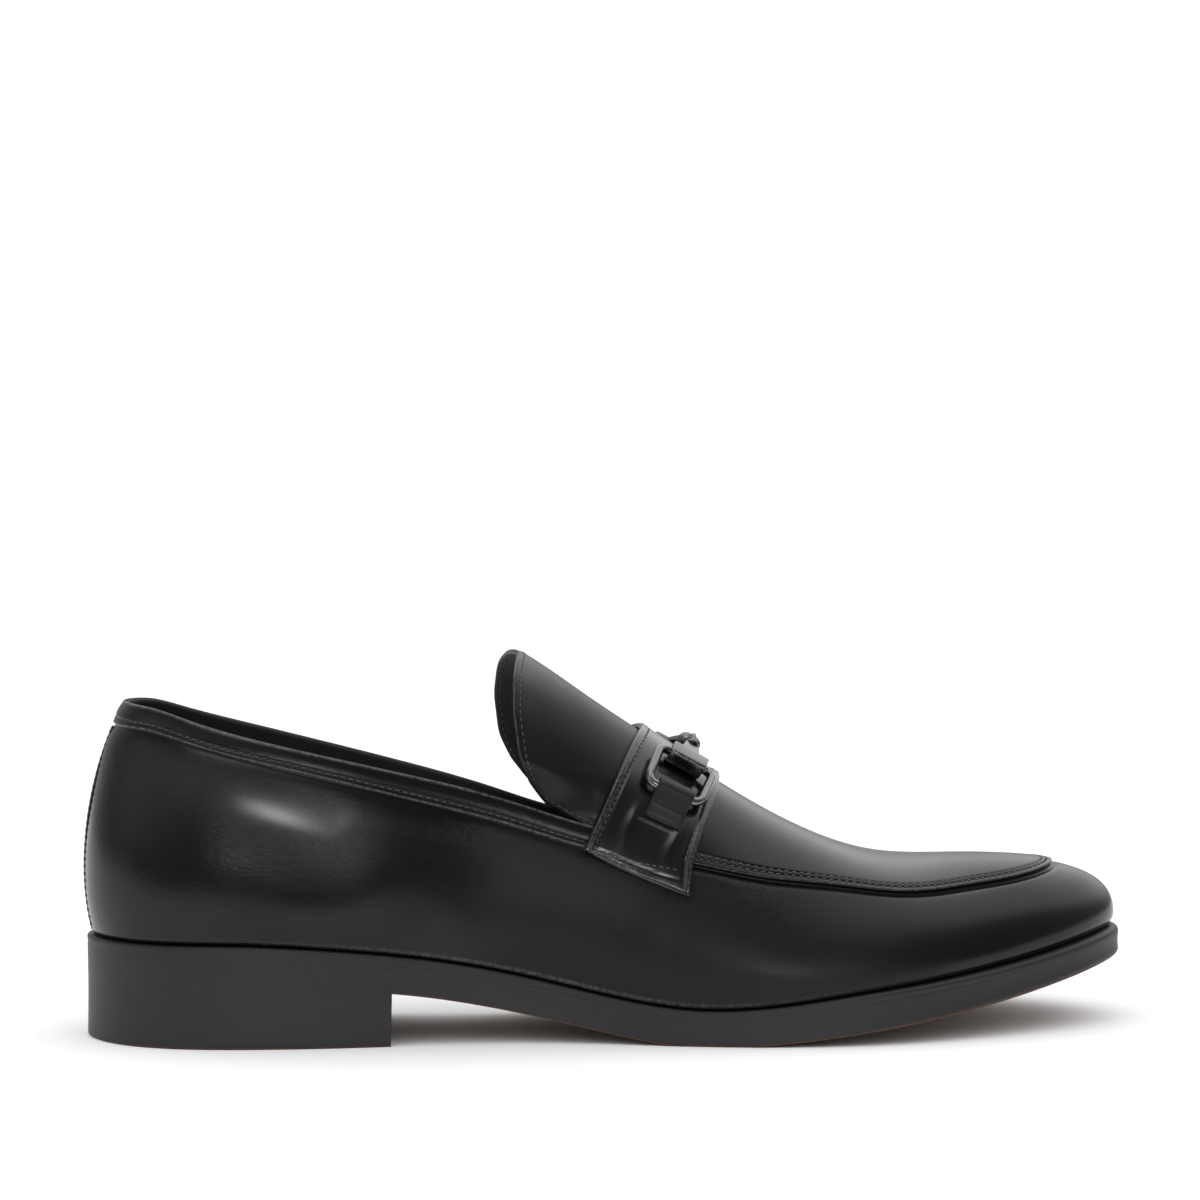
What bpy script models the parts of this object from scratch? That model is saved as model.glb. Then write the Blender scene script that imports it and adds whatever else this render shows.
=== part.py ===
"""Bit loafer for the right foot: a slip-on dress shoe in black leather.

The hollow upper is worked out on the form of its last. At each station round the shoe a wall
curve runs from the sole's edge over the instep to the crown line, and the sole, the insole,
the collar band, the apron, the tongue and the strap are all cut from those same curves.

+X points to the toe, +Y to the inner side of the foot and +Z up. The origin is the middle of
the heel's flat base, on the floor.
"""

import math

import bmesh
import bpy
import numpy as np

# Driving sizes, in metres
SHOE_LENGTH = 0.305
BALL_WIDTH = 0.1015
HEEL_WIDTH = 0.067
HEEL_LENGTH = 0.0855
HEEL_HEIGHT = 0.0295
SOLE_THICKNESS = 0.0105
TOE_SPRING = 0.019
ARCH_RISE = 0.003
BACK_HEIGHT = 0.0975
INSTEP_HEIGHT = 0.0803
TOE_HEIGHT = 0.0478

# Leather, edges and gaps
WALL = 0.0016
RELIEF = 0.0009
BAND_WIDTH = 0.0078
SOLE_EDGE = 0.0018
EDGE_ROUND = 0.0009
SEAM_STEP = 0.006
BREAST_SLOPE = 0.0004
TREAD_FLAT = 0.0004
INSOLE_THICKNESS = 0.0025
TONGUE_THICKNESS = 0.0018
TONGUE_TUCK = 0.006
TONGUE_MARGIN = 0.001
TONGUE_FLARE = 0.0105
TUCK_CLEARANCE = 0.0008
STRAP_THICKNESS = 0.0016
STRAP_STEP = 0.003
CLEARANCE = 0.0003
CURVED_CLEARANCE = 0.0004

# The snaffle bit and the leather tabs that hold its rings
RING_LENGTH = 0.0205
RING_WIDTH = 0.0175
RING_CORNER = 0.0042
RING_BAR = 0.0028
RING_FROM_CROWN = 0.0247
BIT_FORWARD = 0.0015
BARREL_LENGTH = 0.0115
BARREL_WALL = 0.0010
NECK_WIDTH = 0.0085
NECK_END_WIDTH = 0.0040
NECK_THICKNESS = 0.0020
KNOT_DIAMETER = 0.0046
EYE_DIAMETER = 0.0054
EYE_WIRE = 0.0015
EYE_LIFT = 0.0006
TAB_WIDTH = 0.0112
TAB_LENGTH = 0.0095
TAB_TAIL = 0.0045
TAB_THICKNESS = 0.0012
TAB_ASIDE = 0.0005

# The cosine of the crown line's fall over the instep, which shortens lengths along the shoe
INSTEP_SLOPE = 0.83

# How much of a flat bar's half thickness its bevelled corners take off, and how much of the
# knot's length is kept between its flat ends
BEVEL = 0.38
KNOT_SHARE = 0.96

# Mesh densities
STATIONS_REAR = 19
STATIONS_THROAT = 8
STATIONS_FRONT = 18
TOE_CROWDING = 0.20

# One row per section, from the heel's back to the toe's tip. along is a share of SHOE_LENGTH.
# lateral and medial are half widths, as shares of the width that the shoe has there.
# lift is the share of the rise from the floor to the heel seat, and spring that of TOE_SPRING.
# depth is the share of SOLE_THICKNESS, and arch that of ARCH_RISE on the medial side.
SOLE_SECTIONS = (
    # along, lateral, medial, lift, spring, depth, arch
    (0.000, 0.000, 0.000, 1.00, 0.00, 1.00, 0.0),
    (0.010, 0.187, 0.187, 1.00, 0.00, 1.00, 0.0),
    (0.036, 0.343, 0.336, 1.00, 0.00, 1.00, 0.0),
    (0.079, 0.455, 0.433, 1.00, 0.00, 1.00, 0.0),
    (0.148, 0.515, 0.478, 0.99, 0.00, 1.00, 0.1),
    (0.230, 0.522, 0.463, 0.90, 0.00, 1.00, 0.4),
    (0.311, 0.488, 0.394, 0.76, 0.00, 0.98, 0.8),
    (0.393, 0.448, 0.335, 0.52, 0.00, 0.98, 1.0),
    (0.475, 0.445, 0.355, 0.22, 0.00, 0.96, 0.6),
    (0.557, 0.478, 0.429, 0.00, 0.00, 0.98, 0.0),
    (0.639, 0.496, 0.486, 0.00, 0.05, 0.98, 0.0),
    (0.715, 0.493, 0.507, 0.00, 0.19, 1.03, 0.0),
    (0.787, 0.458, 0.488, 0.00, 0.35, 1.00, 0.0),
    (0.852, 0.389, 0.433, 0.00, 0.52, 0.95, 0.0),
    (0.908, 0.312, 0.352, 0.00, 0.70, 0.90, 0.0),
    (0.954, 0.224, 0.252, 0.00, 0.86, 0.87, 0.0),
    (0.985, 0.124, 0.140, 0.00, 0.96, 0.84, 0.0),
    (1.000, 0.000, 0.000, 0.00, 1.00, 0.81, 0.0),
)

# The wall curve of the same sections. crown is where it meets the crown line, as a share of
# SHOE_LENGTH, and back, instep and toe are the shares of those three heights that make the
# crown's height. rise and splay lead the curve off the sole, as shares of the wall's height,
# and reach leads it in to the crown, as a share of the way across.
WALL_SECTIONS = (
    # crown, back, instep, toe, rise, splay, reach
    (0.125, 1.210, 0.00, 0.000, 0.37, 0.103, 0.75),
    (0.128, 1.210, 0.00, 0.000, 0.37, 0.101, 0.75),
    (0.138, 1.210, 0.00, 0.000, 0.37, 0.095, 0.75),
    (0.154, 1.210, 0.00, 0.000, 0.37, 0.100, 0.74),
    (0.184, 1.210, 0.00, 0.000, 0.37, 0.102, 0.73),
    (0.243, 1.210, 0.00, 0.000, 0.38, 0.095, 0.72),
    (0.316, 0.700, 0.61, 0.000, 0.39, 0.080, 0.71),
    (0.393, 0.000, 1.406, 0.000, 0.40, 0.065, 0.69),
    (0.475, 0.000, 1.208, 0.000, 0.37, 0.068, 0.67),
    (0.557, 0.000, 1.00, 0.000, 0.35, 0.070, 0.64),
    (0.639, 0.000, 0.60, 0.339, 0.35, 0.073, 0.66),
    (0.708, 0.000, 0.20, 0.790, 0.39, 0.095, 0.68),
    (0.764, 0.000, 0.00, 1.022, 0.45, 0.110, 0.70),
    (0.810, 0.000, 0.00, 1.000, 0.49, 0.110, 0.70),
    (0.838, 0.000, 0.00, 1.000, 0.53, 0.110, 0.72),
    (0.853, 0.000, 0.00, 1.000, 0.58, 0.110, 0.74),
    (0.860, 0.000, 0.00, 1.000, 0.64, 0.115, 0.75),
    (0.862, 0.000, 0.00, 1.000, 0.68, 0.120, 0.75),
)

# The collar's edge on the sections behind the throat: its height on each side as a share of
# BACK_HEIGHT, and the band's depth below it as a share of BAND_WIDTH.
COLLAR_SECTIONS = (
    # lateral, medial, band
    (1.000, 1.000, 0.86),
    (0.997, 0.997, 0.84),
    (0.988, 0.988, 0.80),
    (0.956, 0.955, 0.79),
    (0.906, 0.903, 0.80),
    (0.849, 0.840, 0.84),
    (0.790, 0.776, 0.91),
    (0.722, 0.702, 0.93),
    (0.641, 0.622, 0.88),
)

# The apron's seam on the sections ahead of it, as a share of the way up the wall curve
APRON_SEAM = (0.470, 0.530, 0.590, 0.600, 0.620, 0.635, 0.665, 0.695, 0.710)

# The throat's front on the crown line, as a share of SHOE_LENGTH
THROAT_ALONG = 0.572

# The tongue, from its middle to its side: across is the share of its half width, wall the
# share of the way up the wall curve, free and root where its free edge and its hidden edge
# lie, as shares of SHOE_LENGTH, and flare how far the free edge stands out, as a share of
# TONGUE_FLARE.
TONGUE_SHAPE = (
    # across, wall, free, root, flare
    (0.0, 1.00, 0.4145, 0.590, 0.00),
    (0.2, 0.90, 0.4080, 0.590, 0.60),
    (0.4, 0.78, 0.4010, 0.588, 1.00),
    (0.6, 0.65, 0.3990, 0.580, 1.00),
    (0.8, 0.53, 0.4040, 0.565, 0.70),
    (0.9, 0.48, 0.4150, 0.550, 0.35),
    (1.0, 0.45, 0.4310, 0.535, 0.00),
)

# The strap's two edges on the crown line and how far back each has swept at its lower end,
# as shares of SHOE_LENGTH, the lower end's share of the way up the wall curve, and the share
# of the strap's half length that lies over the seam
STRAP_REAR = 0.528
STRAP_FRONT = 0.601
STRAP_REAR_SWEEP = 0.069
STRAP_FRONT_SWEEP = 0.040
STRAP_SWEEP_POWER = 1.5
STRAP_END = 0.372
STRAP_LAST_ROW = 0.94

# Each leather and metal finish: colour, roughness and metallic value
FINISHES = {
    "upper_leather": ((0.017, 0.016, 0.018), 0.32, 0.0),
    "tongue_leather": ((0.018, 0.017, 0.019), 0.36, 0.0),
    "strap_leather": ((0.016, 0.015, 0.017), 0.28, 0.0),
    "tab_leather": ((0.018, 0.017, 0.018), 0.34, 0.0),
    "sole_rubber": ((0.020, 0.020, 0.022), 0.55, 0.0),
    "insole_leather": ((0.030, 0.026, 0.024), 0.60, 0.0),
    "gunmetal": ((0.050, 0.050, 0.055), 0.30, 1.0),
}

HEEL_MIDDLE = HEEL_LENGTH / 2
LAST_SIZE = len(SOLE_SECTIONS) - 1
THROAT_ROW = len(COLLAR_SECTIONS) - 1


def smooth_step(share):
    """0 below 0 and 1 above 1, with an S-shaped rise between."""
    share = np.clip(share, 0.0, 1.0)
    return share * share * (3.0 - 2.0 * share)


def closed_spline(knots, values, period):
    """A cubic spline through one row of values per knot that runs on round a closed ring."""
    knots = np.asarray(knots, dtype=float)
    values = np.asarray(values, dtype=float)
    count = len(knots)
    step = np.diff(np.append(knots, knots[0] + period))
    matrix = np.zeros((count, count))
    right = np.zeros_like(values)
    for i in range(count):
        after = (i + 1) % count
        matrix[i, i - 1] += step[i - 1]
        matrix[i, i] += 2.0 * (step[i - 1] + step[i])
        matrix[i, after] += step[i]
        rise_after = (values[after] - values[i]) / step[i]
        rise_before = (values[i] - values[i - 1]) / step[i - 1]
        right[i] = 6.0 * (rise_after - rise_before)
    bend = np.linalg.solve(matrix, right)

    def curve(position):
        """The spline's values at ring positions of any shape, with the columns last."""
        wrapped = knots[0] + np.mod(np.asarray(position, dtype=float) - knots[0], period)
        index = np.clip(np.searchsorted(knots, wrapped, side="right") - 1, 0, count - 1)
        after = (index + 1) % count
        width = step[index]
        far = ((wrapped - knots[index]) / width)[..., None]
        near = 1.0 - far
        span = (width * width)[..., None] / 6.0
        line = near * values[index] + far * values[after]
        return line + ((near**3 - near) * bend[index] + (far**3 - far) * bend[after]) * span

    return curve


def ring_rows(lateral, medial):
    """Section values in ring order: toe, lateral side back to the heel, medial side forward."""
    return np.concatenate([lateral[::-1], medial[1:-1]])


def local_width(along):
    """The width that half widths are shares of: the heel's, growing to the ball's."""
    return HEEL_WIDTH + (BALL_WIDTH - HEEL_WIDTH) * smooth_step((along - 0.25) / 0.47)


class Last:
    """The form that the shoe is built on.

    A ring position runs from 0 at the heel's back to 1 at the toe's tip, negative on the
    lateral side. A wall share runs from 0 at the sole to 1 on the crown line.
    """

    def __init__(self):
        sole = np.array(SOLE_SECTIONS)
        wall = np.array(WALL_SECTIONS)
        along, lateral, medial, lift, spring, depth, arch = sole.T
        x = along * SHOE_LENGTH
        width = local_width(along)
        seat = HEEL_HEIGHT - SOLE_THICKNESS
        under = lift * seat + spring * TOE_SPRING
        edges = {}
        for side, half, raised in ((-1, lateral, 0.0), (1, medial, arch * ARCH_RISE)):
            bottom = under + raised
            top = bottom + depth * SOLE_THICKNESS
            edges[side] = np.stack([x, side * half * width, top, bottom], axis=1)
        steps = sum(np.hypot(*np.diff(edges[side][:, :2], axis=0).T) for side in (-1, 1))
        self.stations = np.append(0.0, np.cumsum(steps)) / np.sum(steps)
        self.knots = np.concatenate([-self.stations[::-1], self.stations[1:-1]])
        self.edge = closed_spline(self.knots, ring_rows(edges[-1], edges[1]), 2.0)
        controls = [self.wall_controls(side * self.stations, wall) for side in (-1, 1)]
        self.controls = closed_spline(self.knots, ring_rows(*controls), 2.0)
        marks = [self.seam_and_collar(side) for side in (-1, 1)]
        self.marks = closed_spline(self.knots, ring_rows(*marks), 2.0)
        self.collar_end = self.stations[THROAT_ROW]
        self.throat = self.station_at(THROAT_ALONG * SHOE_LENGTH)

    def outward(self, ring):
        """The sole outline's outward direction in plan at ring positions."""
        step = 1e-4
        run = self.edge(ring + step)[..., :2] - self.edge(ring - step)[..., :2]
        run /= np.linalg.norm(run, axis=-1, keepdims=True)
        return np.stack([-run[..., 1], run[..., 0]], axis=-1)

    def foot(self, ring, inset):
        """Points on the sole's top, a distance in from its edge."""
        edge = self.edge(ring)
        flat = edge[..., :2] - self.outward(ring) * np.asarray(inset)[..., None]
        return np.concatenate([flat, edge[..., 2:3]], axis=-1)

    def wall_controls(self, ring, wall):
        """The four control points of each section's wall curve, as one row of twelve."""
        crown, back, instep, toe, rise, splay, reach = wall.T
        foot = self.foot(ring, SOLE_EDGE)
        foot[:, 2] += CLEARANCE
        crown_z = back * BACK_HEIGHT + instep * INSTEP_HEIGHT + toe * TOE_HEIGHT
        top = np.stack([crown * SHOE_LENGTH, np.zeros(len(crown)), crown_z], axis=1)
        height = (top[:, 2] - foot[:, 2])[:, None]
        slope = np.gradient(top[:, 2], top[:, 0])
        lead = foot + np.pad(self.outward(ring) * splay[:, None] * height, ((0, 0), (0, 1)))
        lead[:, 2] += rise * height[:, 0]
        over = top + reach[:, None] * (foot - top)
        over[:, 2] = top[:, 2] + slope * (over[:, 0] - top[:, 0])
        return np.concatenate([foot, lead, over, top], axis=1)

    def seam_and_collar(self, side):
        """Wall shares of the raised seam and the collar's edge at each section of one side."""
        marks = np.zeros((len(self.stations), 2))
        shares = np.linspace(0.0, 1.0, 201)
        for row, (lateral, medial, band) in enumerate(COLLAR_SECTIONS):
            heights = self.point(side * self.stations[row], shares)[:, 2]
            edge_z = (lateral if side < 0 else medial) * BACK_HEIGHT
            seam_z = edge_z - band * BAND_WIDTH
            marks[row] = np.interp((seam_z, edge_z), heights, shares)
        marks[THROAT_ROW + 1:, 0] = APRON_SEAM
        marks[THROAT_ROW + 1:, 1] = np.array(APRON_SEAM) + np.diff(marks[THROAT_ROW])
        return marks

    def station_at(self, x):
        """The ring positions, as on the medial side, whose sole edge lies at distances along."""
        fine = np.linspace(0.0, 1.0, 2001)
        return np.interp(x, self.edge(fine)[:, 0], fine)

    def point(self, ring, wall_share):
        """Points of the form itself."""
        ring, wall_share = np.broadcast_arrays(ring, wall_share)
        controls = self.controls(ring)
        share = np.asarray(wall_share, dtype=float)[..., None]
        rest = 1.0 - share
        return (rest**3 * controls[..., 0:3] + 3.0 * rest**2 * share * controls[..., 3:6]
                + 3.0 * rest * share**2 * controls[..., 6:9] + share**3 * controls[..., 9:12])

    def normal(self, ring, wall_share):
        """Outward directions of the form. On the crown line they stand in the middle plane."""
        ring, wall_share = np.broadcast_arrays(ring, wall_share)
        step = 1e-4
        share = np.clip(wall_share, step, 1.0 - 8.0 * step)
        up = self.point(ring, share + step) - self.point(ring, share - step)
        on = self.point(ring + step, share) - self.point(ring - step, share)
        out = np.cross(up, on)
        out[..., 1] = np.where(wall_share > 1.0 - 1e-9, 0.0, out[..., 1])
        return out / np.linalg.norm(out, axis=-1, keepdims=True)

    def raised(self, ring, wall_share, height):
        """Points a height above the form."""
        height = np.broadcast_to(height, np.broadcast(ring, wall_share).shape)
        return self.point(ring, wall_share) + self.normal(ring, wall_share) * height[..., None]

    def top_share(self, ring):
        """The wall share where the upper ends: the collar, the throat's arc, or the crown."""
        station = np.abs(ring)
        collar = self.marks(ring)[..., 1]
        last_collar = self.marks(np.sign(ring) * self.collar_end)[..., 1]
        part = np.clip((station - self.collar_end) / (self.throat - self.collar_end), 0.0, 1.0)
        arc = 1.0 - (1.0 - last_collar) * np.sqrt(1.0 - part * part)
        return np.where(station <= self.collar_end, collar, arc)

    def open_by(self, ring, wall_share):
        """How far a point lies inside the collar and the throat, clear of the upper's edge."""
        controls = self.controls(ring)
        above = (wall_share - self.top_share(ring)) * (controls[..., 11] - controls[..., 2])
        last_collar = self.marks(np.sign(ring) * self.collar_end)[..., 1]
        left = np.clip((1.0 - wall_share) / (1.0 - last_collar), 0.0, 1.0)
        arc = self.collar_end + (self.throat - self.collar_end) * np.sqrt(1.0 - left * left)
        behind = self.edge(arc)[..., 0] - self.edge(np.abs(ring))[..., 0]
        inside = np.maximum(above, 1e-6) * np.maximum(behind, 1e-6)
        return np.where(np.minimum(above, behind) > 0.0, inside / np.hypot(above, behind), 0.0)


LAST = Last()


def station_list():
    """Stations from heel to toe: closer round both ends, and spaced for the throat's arc."""
    turn = np.linspace(0.0, 1.0, STATIONS_REAR)
    rear = LAST.collar_end * (turn - 0.35 * np.sin(np.pi * (1.0 - turn)) * (1.0 - turn) * turn)
    arc = np.sin(np.linspace(0.0, math.pi / 2, STATIONS_THROAT))
    throat = LAST.collar_end + (LAST.throat - LAST.collar_end) * arc
    turn = np.linspace(0.0, 1.0, STATIONS_FRONT)
    turn = turn + TOE_CROWDING * np.sin(np.pi * turn) * turn
    front = LAST.throat + (1.0 - LAST.throat) * turn
    return np.concatenate([rear, throat[1:], front[1:]])


def ring_of(stations):
    """Ring positions in order round the shoe, with the heel and the toe once each."""
    return np.concatenate([-stations[::-1], stations[1:-1]])


def make_object(name, vertices, faces, finish, smooth_angle=40.0):
    """A closed mesh object with its doubles welded and its faces turned outwards."""
    mesh = bpy.data.meshes.new(name)
    mesh.from_pydata([tuple(v) for v in vertices], [], faces)
    body = bmesh.new()
    body.from_mesh(mesh)
    bmesh.ops.remove_doubles(body, verts=body.verts, dist=2e-6)
    bmesh.ops.dissolve_degenerate(body, edges=body.edges, dist=1e-7)
    bmesh.ops.recalc_face_normals(body, faces=body.faces)
    body.to_mesh(mesh)
    body.free()
    mesh.shade_smooth()
    mesh.set_sharp_from_angle(angle=math.radians(smooth_angle))
    mesh.materials.append(material(finish))
    item = bpy.data.objects.new(name, mesh)
    item.location = (-HEEL_MIDDLE, 0.0, 0.0)
    bpy.context.scene.collection.objects.link(item)
    return item


def material(finish):
    """The Principled material of a finish, made once."""
    if finish in bpy.data.materials:
        return bpy.data.materials[finish]
    colour, roughness, metallic = FINISHES[finish]
    made = bpy.data.materials.new(finish)
    made.use_nodes = True
    shader = made.node_tree.nodes["Principled BSDF"]
    shader.inputs["Base Color"].default_value = (*colour, 1.0)
    shader.inputs["Roughness"].default_value = roughness
    shader.inputs["Metallic"].default_value = metallic
    made.diffuse_color = (*colour, 1.0)
    return made


def grid_faces(start, rows, columns, closed):
    """Quads of a grid stored row by row, which may close on itself along its rows."""
    faces = []
    last_column = columns if closed else columns - 1
    for row in range(rows - 1):
        for column in range(last_column):
            after = (column + 1) % columns
            low = start + row * columns
            high = low + columns
            faces.append((low + column, low + after, high + after, high + column))
    return faces


def block(name, rows, stations, finish):
    """A solid whose side is a stack of rings, closed by strips from side to side."""
    count = len(stations) - 1
    columns = 2 * count
    faces = grid_faces(0, len(rows), columns, True)
    for level in (0, len(rows) - 1):
        start = level * columns
        for i in range(count):
            left = (count - i, count - i - 1)
            right = ((count + i + 1) % columns, count + i)
            strip = [start + left[0], start + left[1], start + right[0], start + right[1]]
            faces.append(tuple(dict.fromkeys(strip)))
    return make_object(name, np.concatenate(rows), faces, finish)


def sheet(name, outer, inner, finish):
    """A sheet of leather between an outer and an inner grid, closed round its four edges."""
    rows, columns = outer.shape[:2]
    size = rows * columns
    faces = grid_faces(0, rows, columns, False) + grid_faces(size, rows, columns, False)
    border = [column for column in range(columns)]
    border += [row * columns + columns - 1 for row in range(1, rows)]
    border += [(rows - 1) * columns + column for column in range(columns - 2, -1, -1)]
    border += [row * columns for row in range(rows - 2, 0, -1)]
    for here, after in zip(border, border[1:] + border[:1]):
        faces.append((here, after, size + after, size + here))
    points = np.concatenate([outer.reshape(-1, 3), inner.reshape(-1, 3)])
    return make_object(name, points, faces, finish)


def sole_unit():
    """The moulded sole and heel: a wall with rounded edges, a straight breast, a flat tread."""
    breast = LAST.station_at(HEEL_LENGTH)
    waist = LAST.station_at(HEEL_LENGTH + BREAST_SLOPE)
    stations = station_list()
    clear = (np.abs(stations - breast) > 0.006) & (np.abs(stations - waist) > 0.006)
    stations = np.sort(np.concatenate([stations[clear], [breast, waist]]))
    ring = ring_of(stations)
    edge = LAST.edge(ring)
    top = edge[:, 2]
    tread = np.maximum(edge[:, 3] - TREAD_FLAT, 0.0)
    under = np.where(np.abs(ring) <= breast + 1e-9, 0.0, tread)
    rows = []
    profile = (
        (2.2 * EDGE_ROUND, under),
        (0.3 * EDGE_ROUND, under + 0.4 * EDGE_ROUND),
        (0.0, under + 1.4 * EDGE_ROUND),
        (0.0, top - EDGE_ROUND),
        (0.3 * EDGE_ROUND, top - 0.3 * EDGE_ROUND),
        (EDGE_ROUND, top),
    )
    for inset, height in profile:
        flat = LAST.foot(ring, np.full(len(ring), inset))[:, :2]
        rows.append(np.column_stack([flat, height]))
    return block("sole_unit", rows, stations, "sole_rubber")


def insole():
    """The insole: a thin board on the sole, inside the upper's wall."""
    stations = station_list()
    ring = ring_of(stations)
    foot = LAST.foot(ring, np.full(len(ring), SOLE_EDGE + WALL + CLEARANCE))
    low = foot + np.array([0.0, 0.0, CLEARANCE])
    high = low + np.array([0.0, 0.0, INSOLE_THICKNESS])
    return block("insole", [low, high], stations, "insole_leather")


def upper():
    """The hollow upper: quarters, collar band and apron in one wall, open at collar and foot."""
    stations = station_list()
    ring = ring_of(stations)
    seam = LAST.marks(ring)[:, 0]
    top = LAST.top_share(ring)
    top = np.maximum(top, seam + 0.01)
    outer = []
    for share in (0.0, 0.14, 0.3, 0.48, 0.66, 0.84, 1.0):
        outer.append(LAST.raised(ring, seam * share, 0.0))
    for share in (0.0, 0.2, 0.4, 0.6, 0.8, 1.0):
        wall_share = seam + SEAM_STEP + (top - seam - SEAM_STEP) * share
        outer.append(LAST.raised(ring, wall_share, RELIEF))
    inner = []
    for share in (0.0, 0.12, 0.25, 0.37, 0.48, 0.58, 0.67, 0.76, 0.84, 0.92, 1.0):
        inner.append(LAST.raised(ring, top * share, -WALL))
    inner[0][:, 2] = outer[0][:, 2]
    columns = len(ring)
    outer_size = len(outer) * columns
    faces = grid_faces(0, len(outer), columns, True)
    faces += grid_faces(outer_size, len(inner), columns, True)
    last_outer = outer_size - columns
    last_inner = outer_size + (len(inner) - 1) * columns
    for column in range(columns):
        after = (column + 1) % columns
        faces.append((column, after, outer_size + after, outer_size + column))
        if min(abs(ring[column]), abs(ring[after])) < LAST.throat - 1e-9:
            faces.append((last_outer + column, last_outer + after,
                          last_inner + after, last_inner + column))
    return make_object("upper", np.concatenate(outer + inner), faces, "upper_leather")


def tongue():
    """The tongue: flush with the apron in the open, tucked under the upper at its edges."""
    across, wall, free, root, flare = np.array(TONGUE_SHAPE).T
    half = np.linspace(0.0, 1.0, 15)
    side = np.concatenate([-half[::-1], half[1:]])
    size = np.abs(side)
    free_x = np.interp(size, across, free) * SHOE_LENGTH
    root_x = np.interp(size, across, root) * SHOE_LENGTH
    along = np.linspace(0.0, 1.0, 15)[:, None]
    x = root_x + (free_x - root_x) * along
    ring = np.where(side < 0.0, -1.0, 1.0) * LAST.station_at(x)
    share = np.broadcast_to(np.interp(size, across, wall), ring.shape)
    tucked = 1.0 - smooth_step((LAST.open_by(ring, share) - TONGUE_MARGIN) / TONGUE_TUCK)
    height = RELIEF - tucked * (RELIEF + WALL + TUCK_CLEARANCE)
    outer = LAST.raised(ring, share, height)
    inner = LAST.raised(ring, share, height - TONGUE_THICKNESS)
    strap_edge = strap_x((1.0 - share) / (1.0 - STRAP_END), 0.0)
    bare = np.clip((strap_edge - x) / (strap_edge - free_x), 0.0, 1.0)
    aside = TONGUE_FLARE * np.interp(size, across, flare) * bare**2 * (1.0 - tucked)
    outer[..., 1] += aside * np.sign(side)
    inner[..., 1] += aside * np.sign(side)
    return sheet("tongue", outer, inner, "tongue_leather")


def strap_x(size, along):
    """How far along the shoe the strap's points lie: size runs from the crown line to its end,
    and along from its rear edge to its front edge."""
    sweep = size**STRAP_SWEEP_POWER
    rear = STRAP_REAR - STRAP_REAR_SWEEP * sweep
    front = STRAP_FRONT - STRAP_FRONT_SWEEP * sweep
    return (rear + (front - rear) * along) * SHOE_LENGTH


def strap():
    """The strap over the instep: it follows the apron and steps down to the wall at its ends."""
    level = np.append(np.linspace(0.0, STRAP_LAST_ROW, 11), 1.0)
    side = np.concatenate([-level[::-1], level[1:]])
    size = np.abs(side)
    ring = np.where(side < 0.0, -1.0, 1.0) * LAST.station_at(
        strap_x(size, np.linspace(0.0, 1.0, 6)[:, None]))
    seam = LAST.marks(ring)[..., 0] - SEAM_STEP
    end = np.minimum(STRAP_END, seam)
    share = np.where(size > STRAP_LAST_ROW, end, 1.0 - (1.0 - seam) * size / STRAP_LAST_ROW)
    below = (seam - end) * (LAST.controls(ring)[..., 11] - LAST.controls(ring)[..., 2])
    end_lap = RELIEF * (1.0 - smooth_step(below / STRAP_STEP))
    lap = CURVED_CLEARANCE + np.where(size > STRAP_LAST_ROW, end_lap, RELIEF)
    inner = LAST.raised(ring, share, lap)
    outer = LAST.raised(ring, share, lap + STRAP_THICKNESS)
    return sheet("strap", outer, inner, "strap_leather")


def over_strap(points, side):
    """Carry flat points onto the strap on one side of the shoe.

    A flat point is its distance forward of the strap's middle, its distance from the crown
    line, measured over the leather, and its height above the strap.
    """
    shares = np.linspace(1.0, 0.2, 61)
    lift = RELIEF + CURVED_CLEARANCE + STRAP_THICKNESS
    slope = INSTEP_SLOPE
    carried = []
    for forward, from_crown, height in points:
        way = side if from_crown >= 0.0 else -side
        x = strap_x(0.0, 0.5)
        for _ in range(3):
            ring = way * LAST.station_at(x + forward * slope)
            line = LAST.raised(np.full(len(shares), ring), shares, lift)
            run = np.append(0.0, np.cumsum(np.linalg.norm(np.diff(line, axis=0), axis=1)))
            share = np.interp(abs(from_crown), run, shares)
            x = strap_x((1.0 - share) / (1.0 - STRAP_END), 0.5)
        carried.append(LAST.raised(np.array(ring), np.array(share), lift + height))
    return np.array(carried)


def bar_height():
    """The height of the ring's middle over the strap: one layer of the tab runs under it."""
    return CLEARANCE + TAB_THICKNESS + CLEARANCE + RING_BAR / 2


def ring(name, side):
    """One ring of the bit: a round bar along a rectangle with round corners."""
    half_x = (RING_LENGTH - RING_BAR) / 2
    half_y = (RING_WIDTH - RING_BAR) / 2
    corner = RING_CORNER - RING_BAR / 2
    path = []
    outs = []
    for turn, (sx, sy) in enumerate(((1, 1), (-1, 1), (-1, -1), (1, -1))):
        stops = [(sx * (half_x - corner), sy * (half_y - corner), corner, 90 * turn + 22.5 * step)
                 for step in range(5)]
        stops.append((0.0, 0.0, half_x if turn % 2 else half_y, 90 * turn + 90.0))
        for x, y, reach, degrees in stops:
            out = np.array([math.cos(math.radians(degrees)), -math.sin(math.radians(degrees)), 0.0])
            middle = np.array([BIT_FORWARD + x, RING_FROM_CROWN - y, bar_height()])
            path.append(middle + reach * out)
            outs.append((out, np.array([0.0, 0.0, 1.0])))
    points, faces = tube(path, outs, RING_BAR / 2, 8)
    return make_object(name, over_strap(points, side), faces, "gunmetal")


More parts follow.
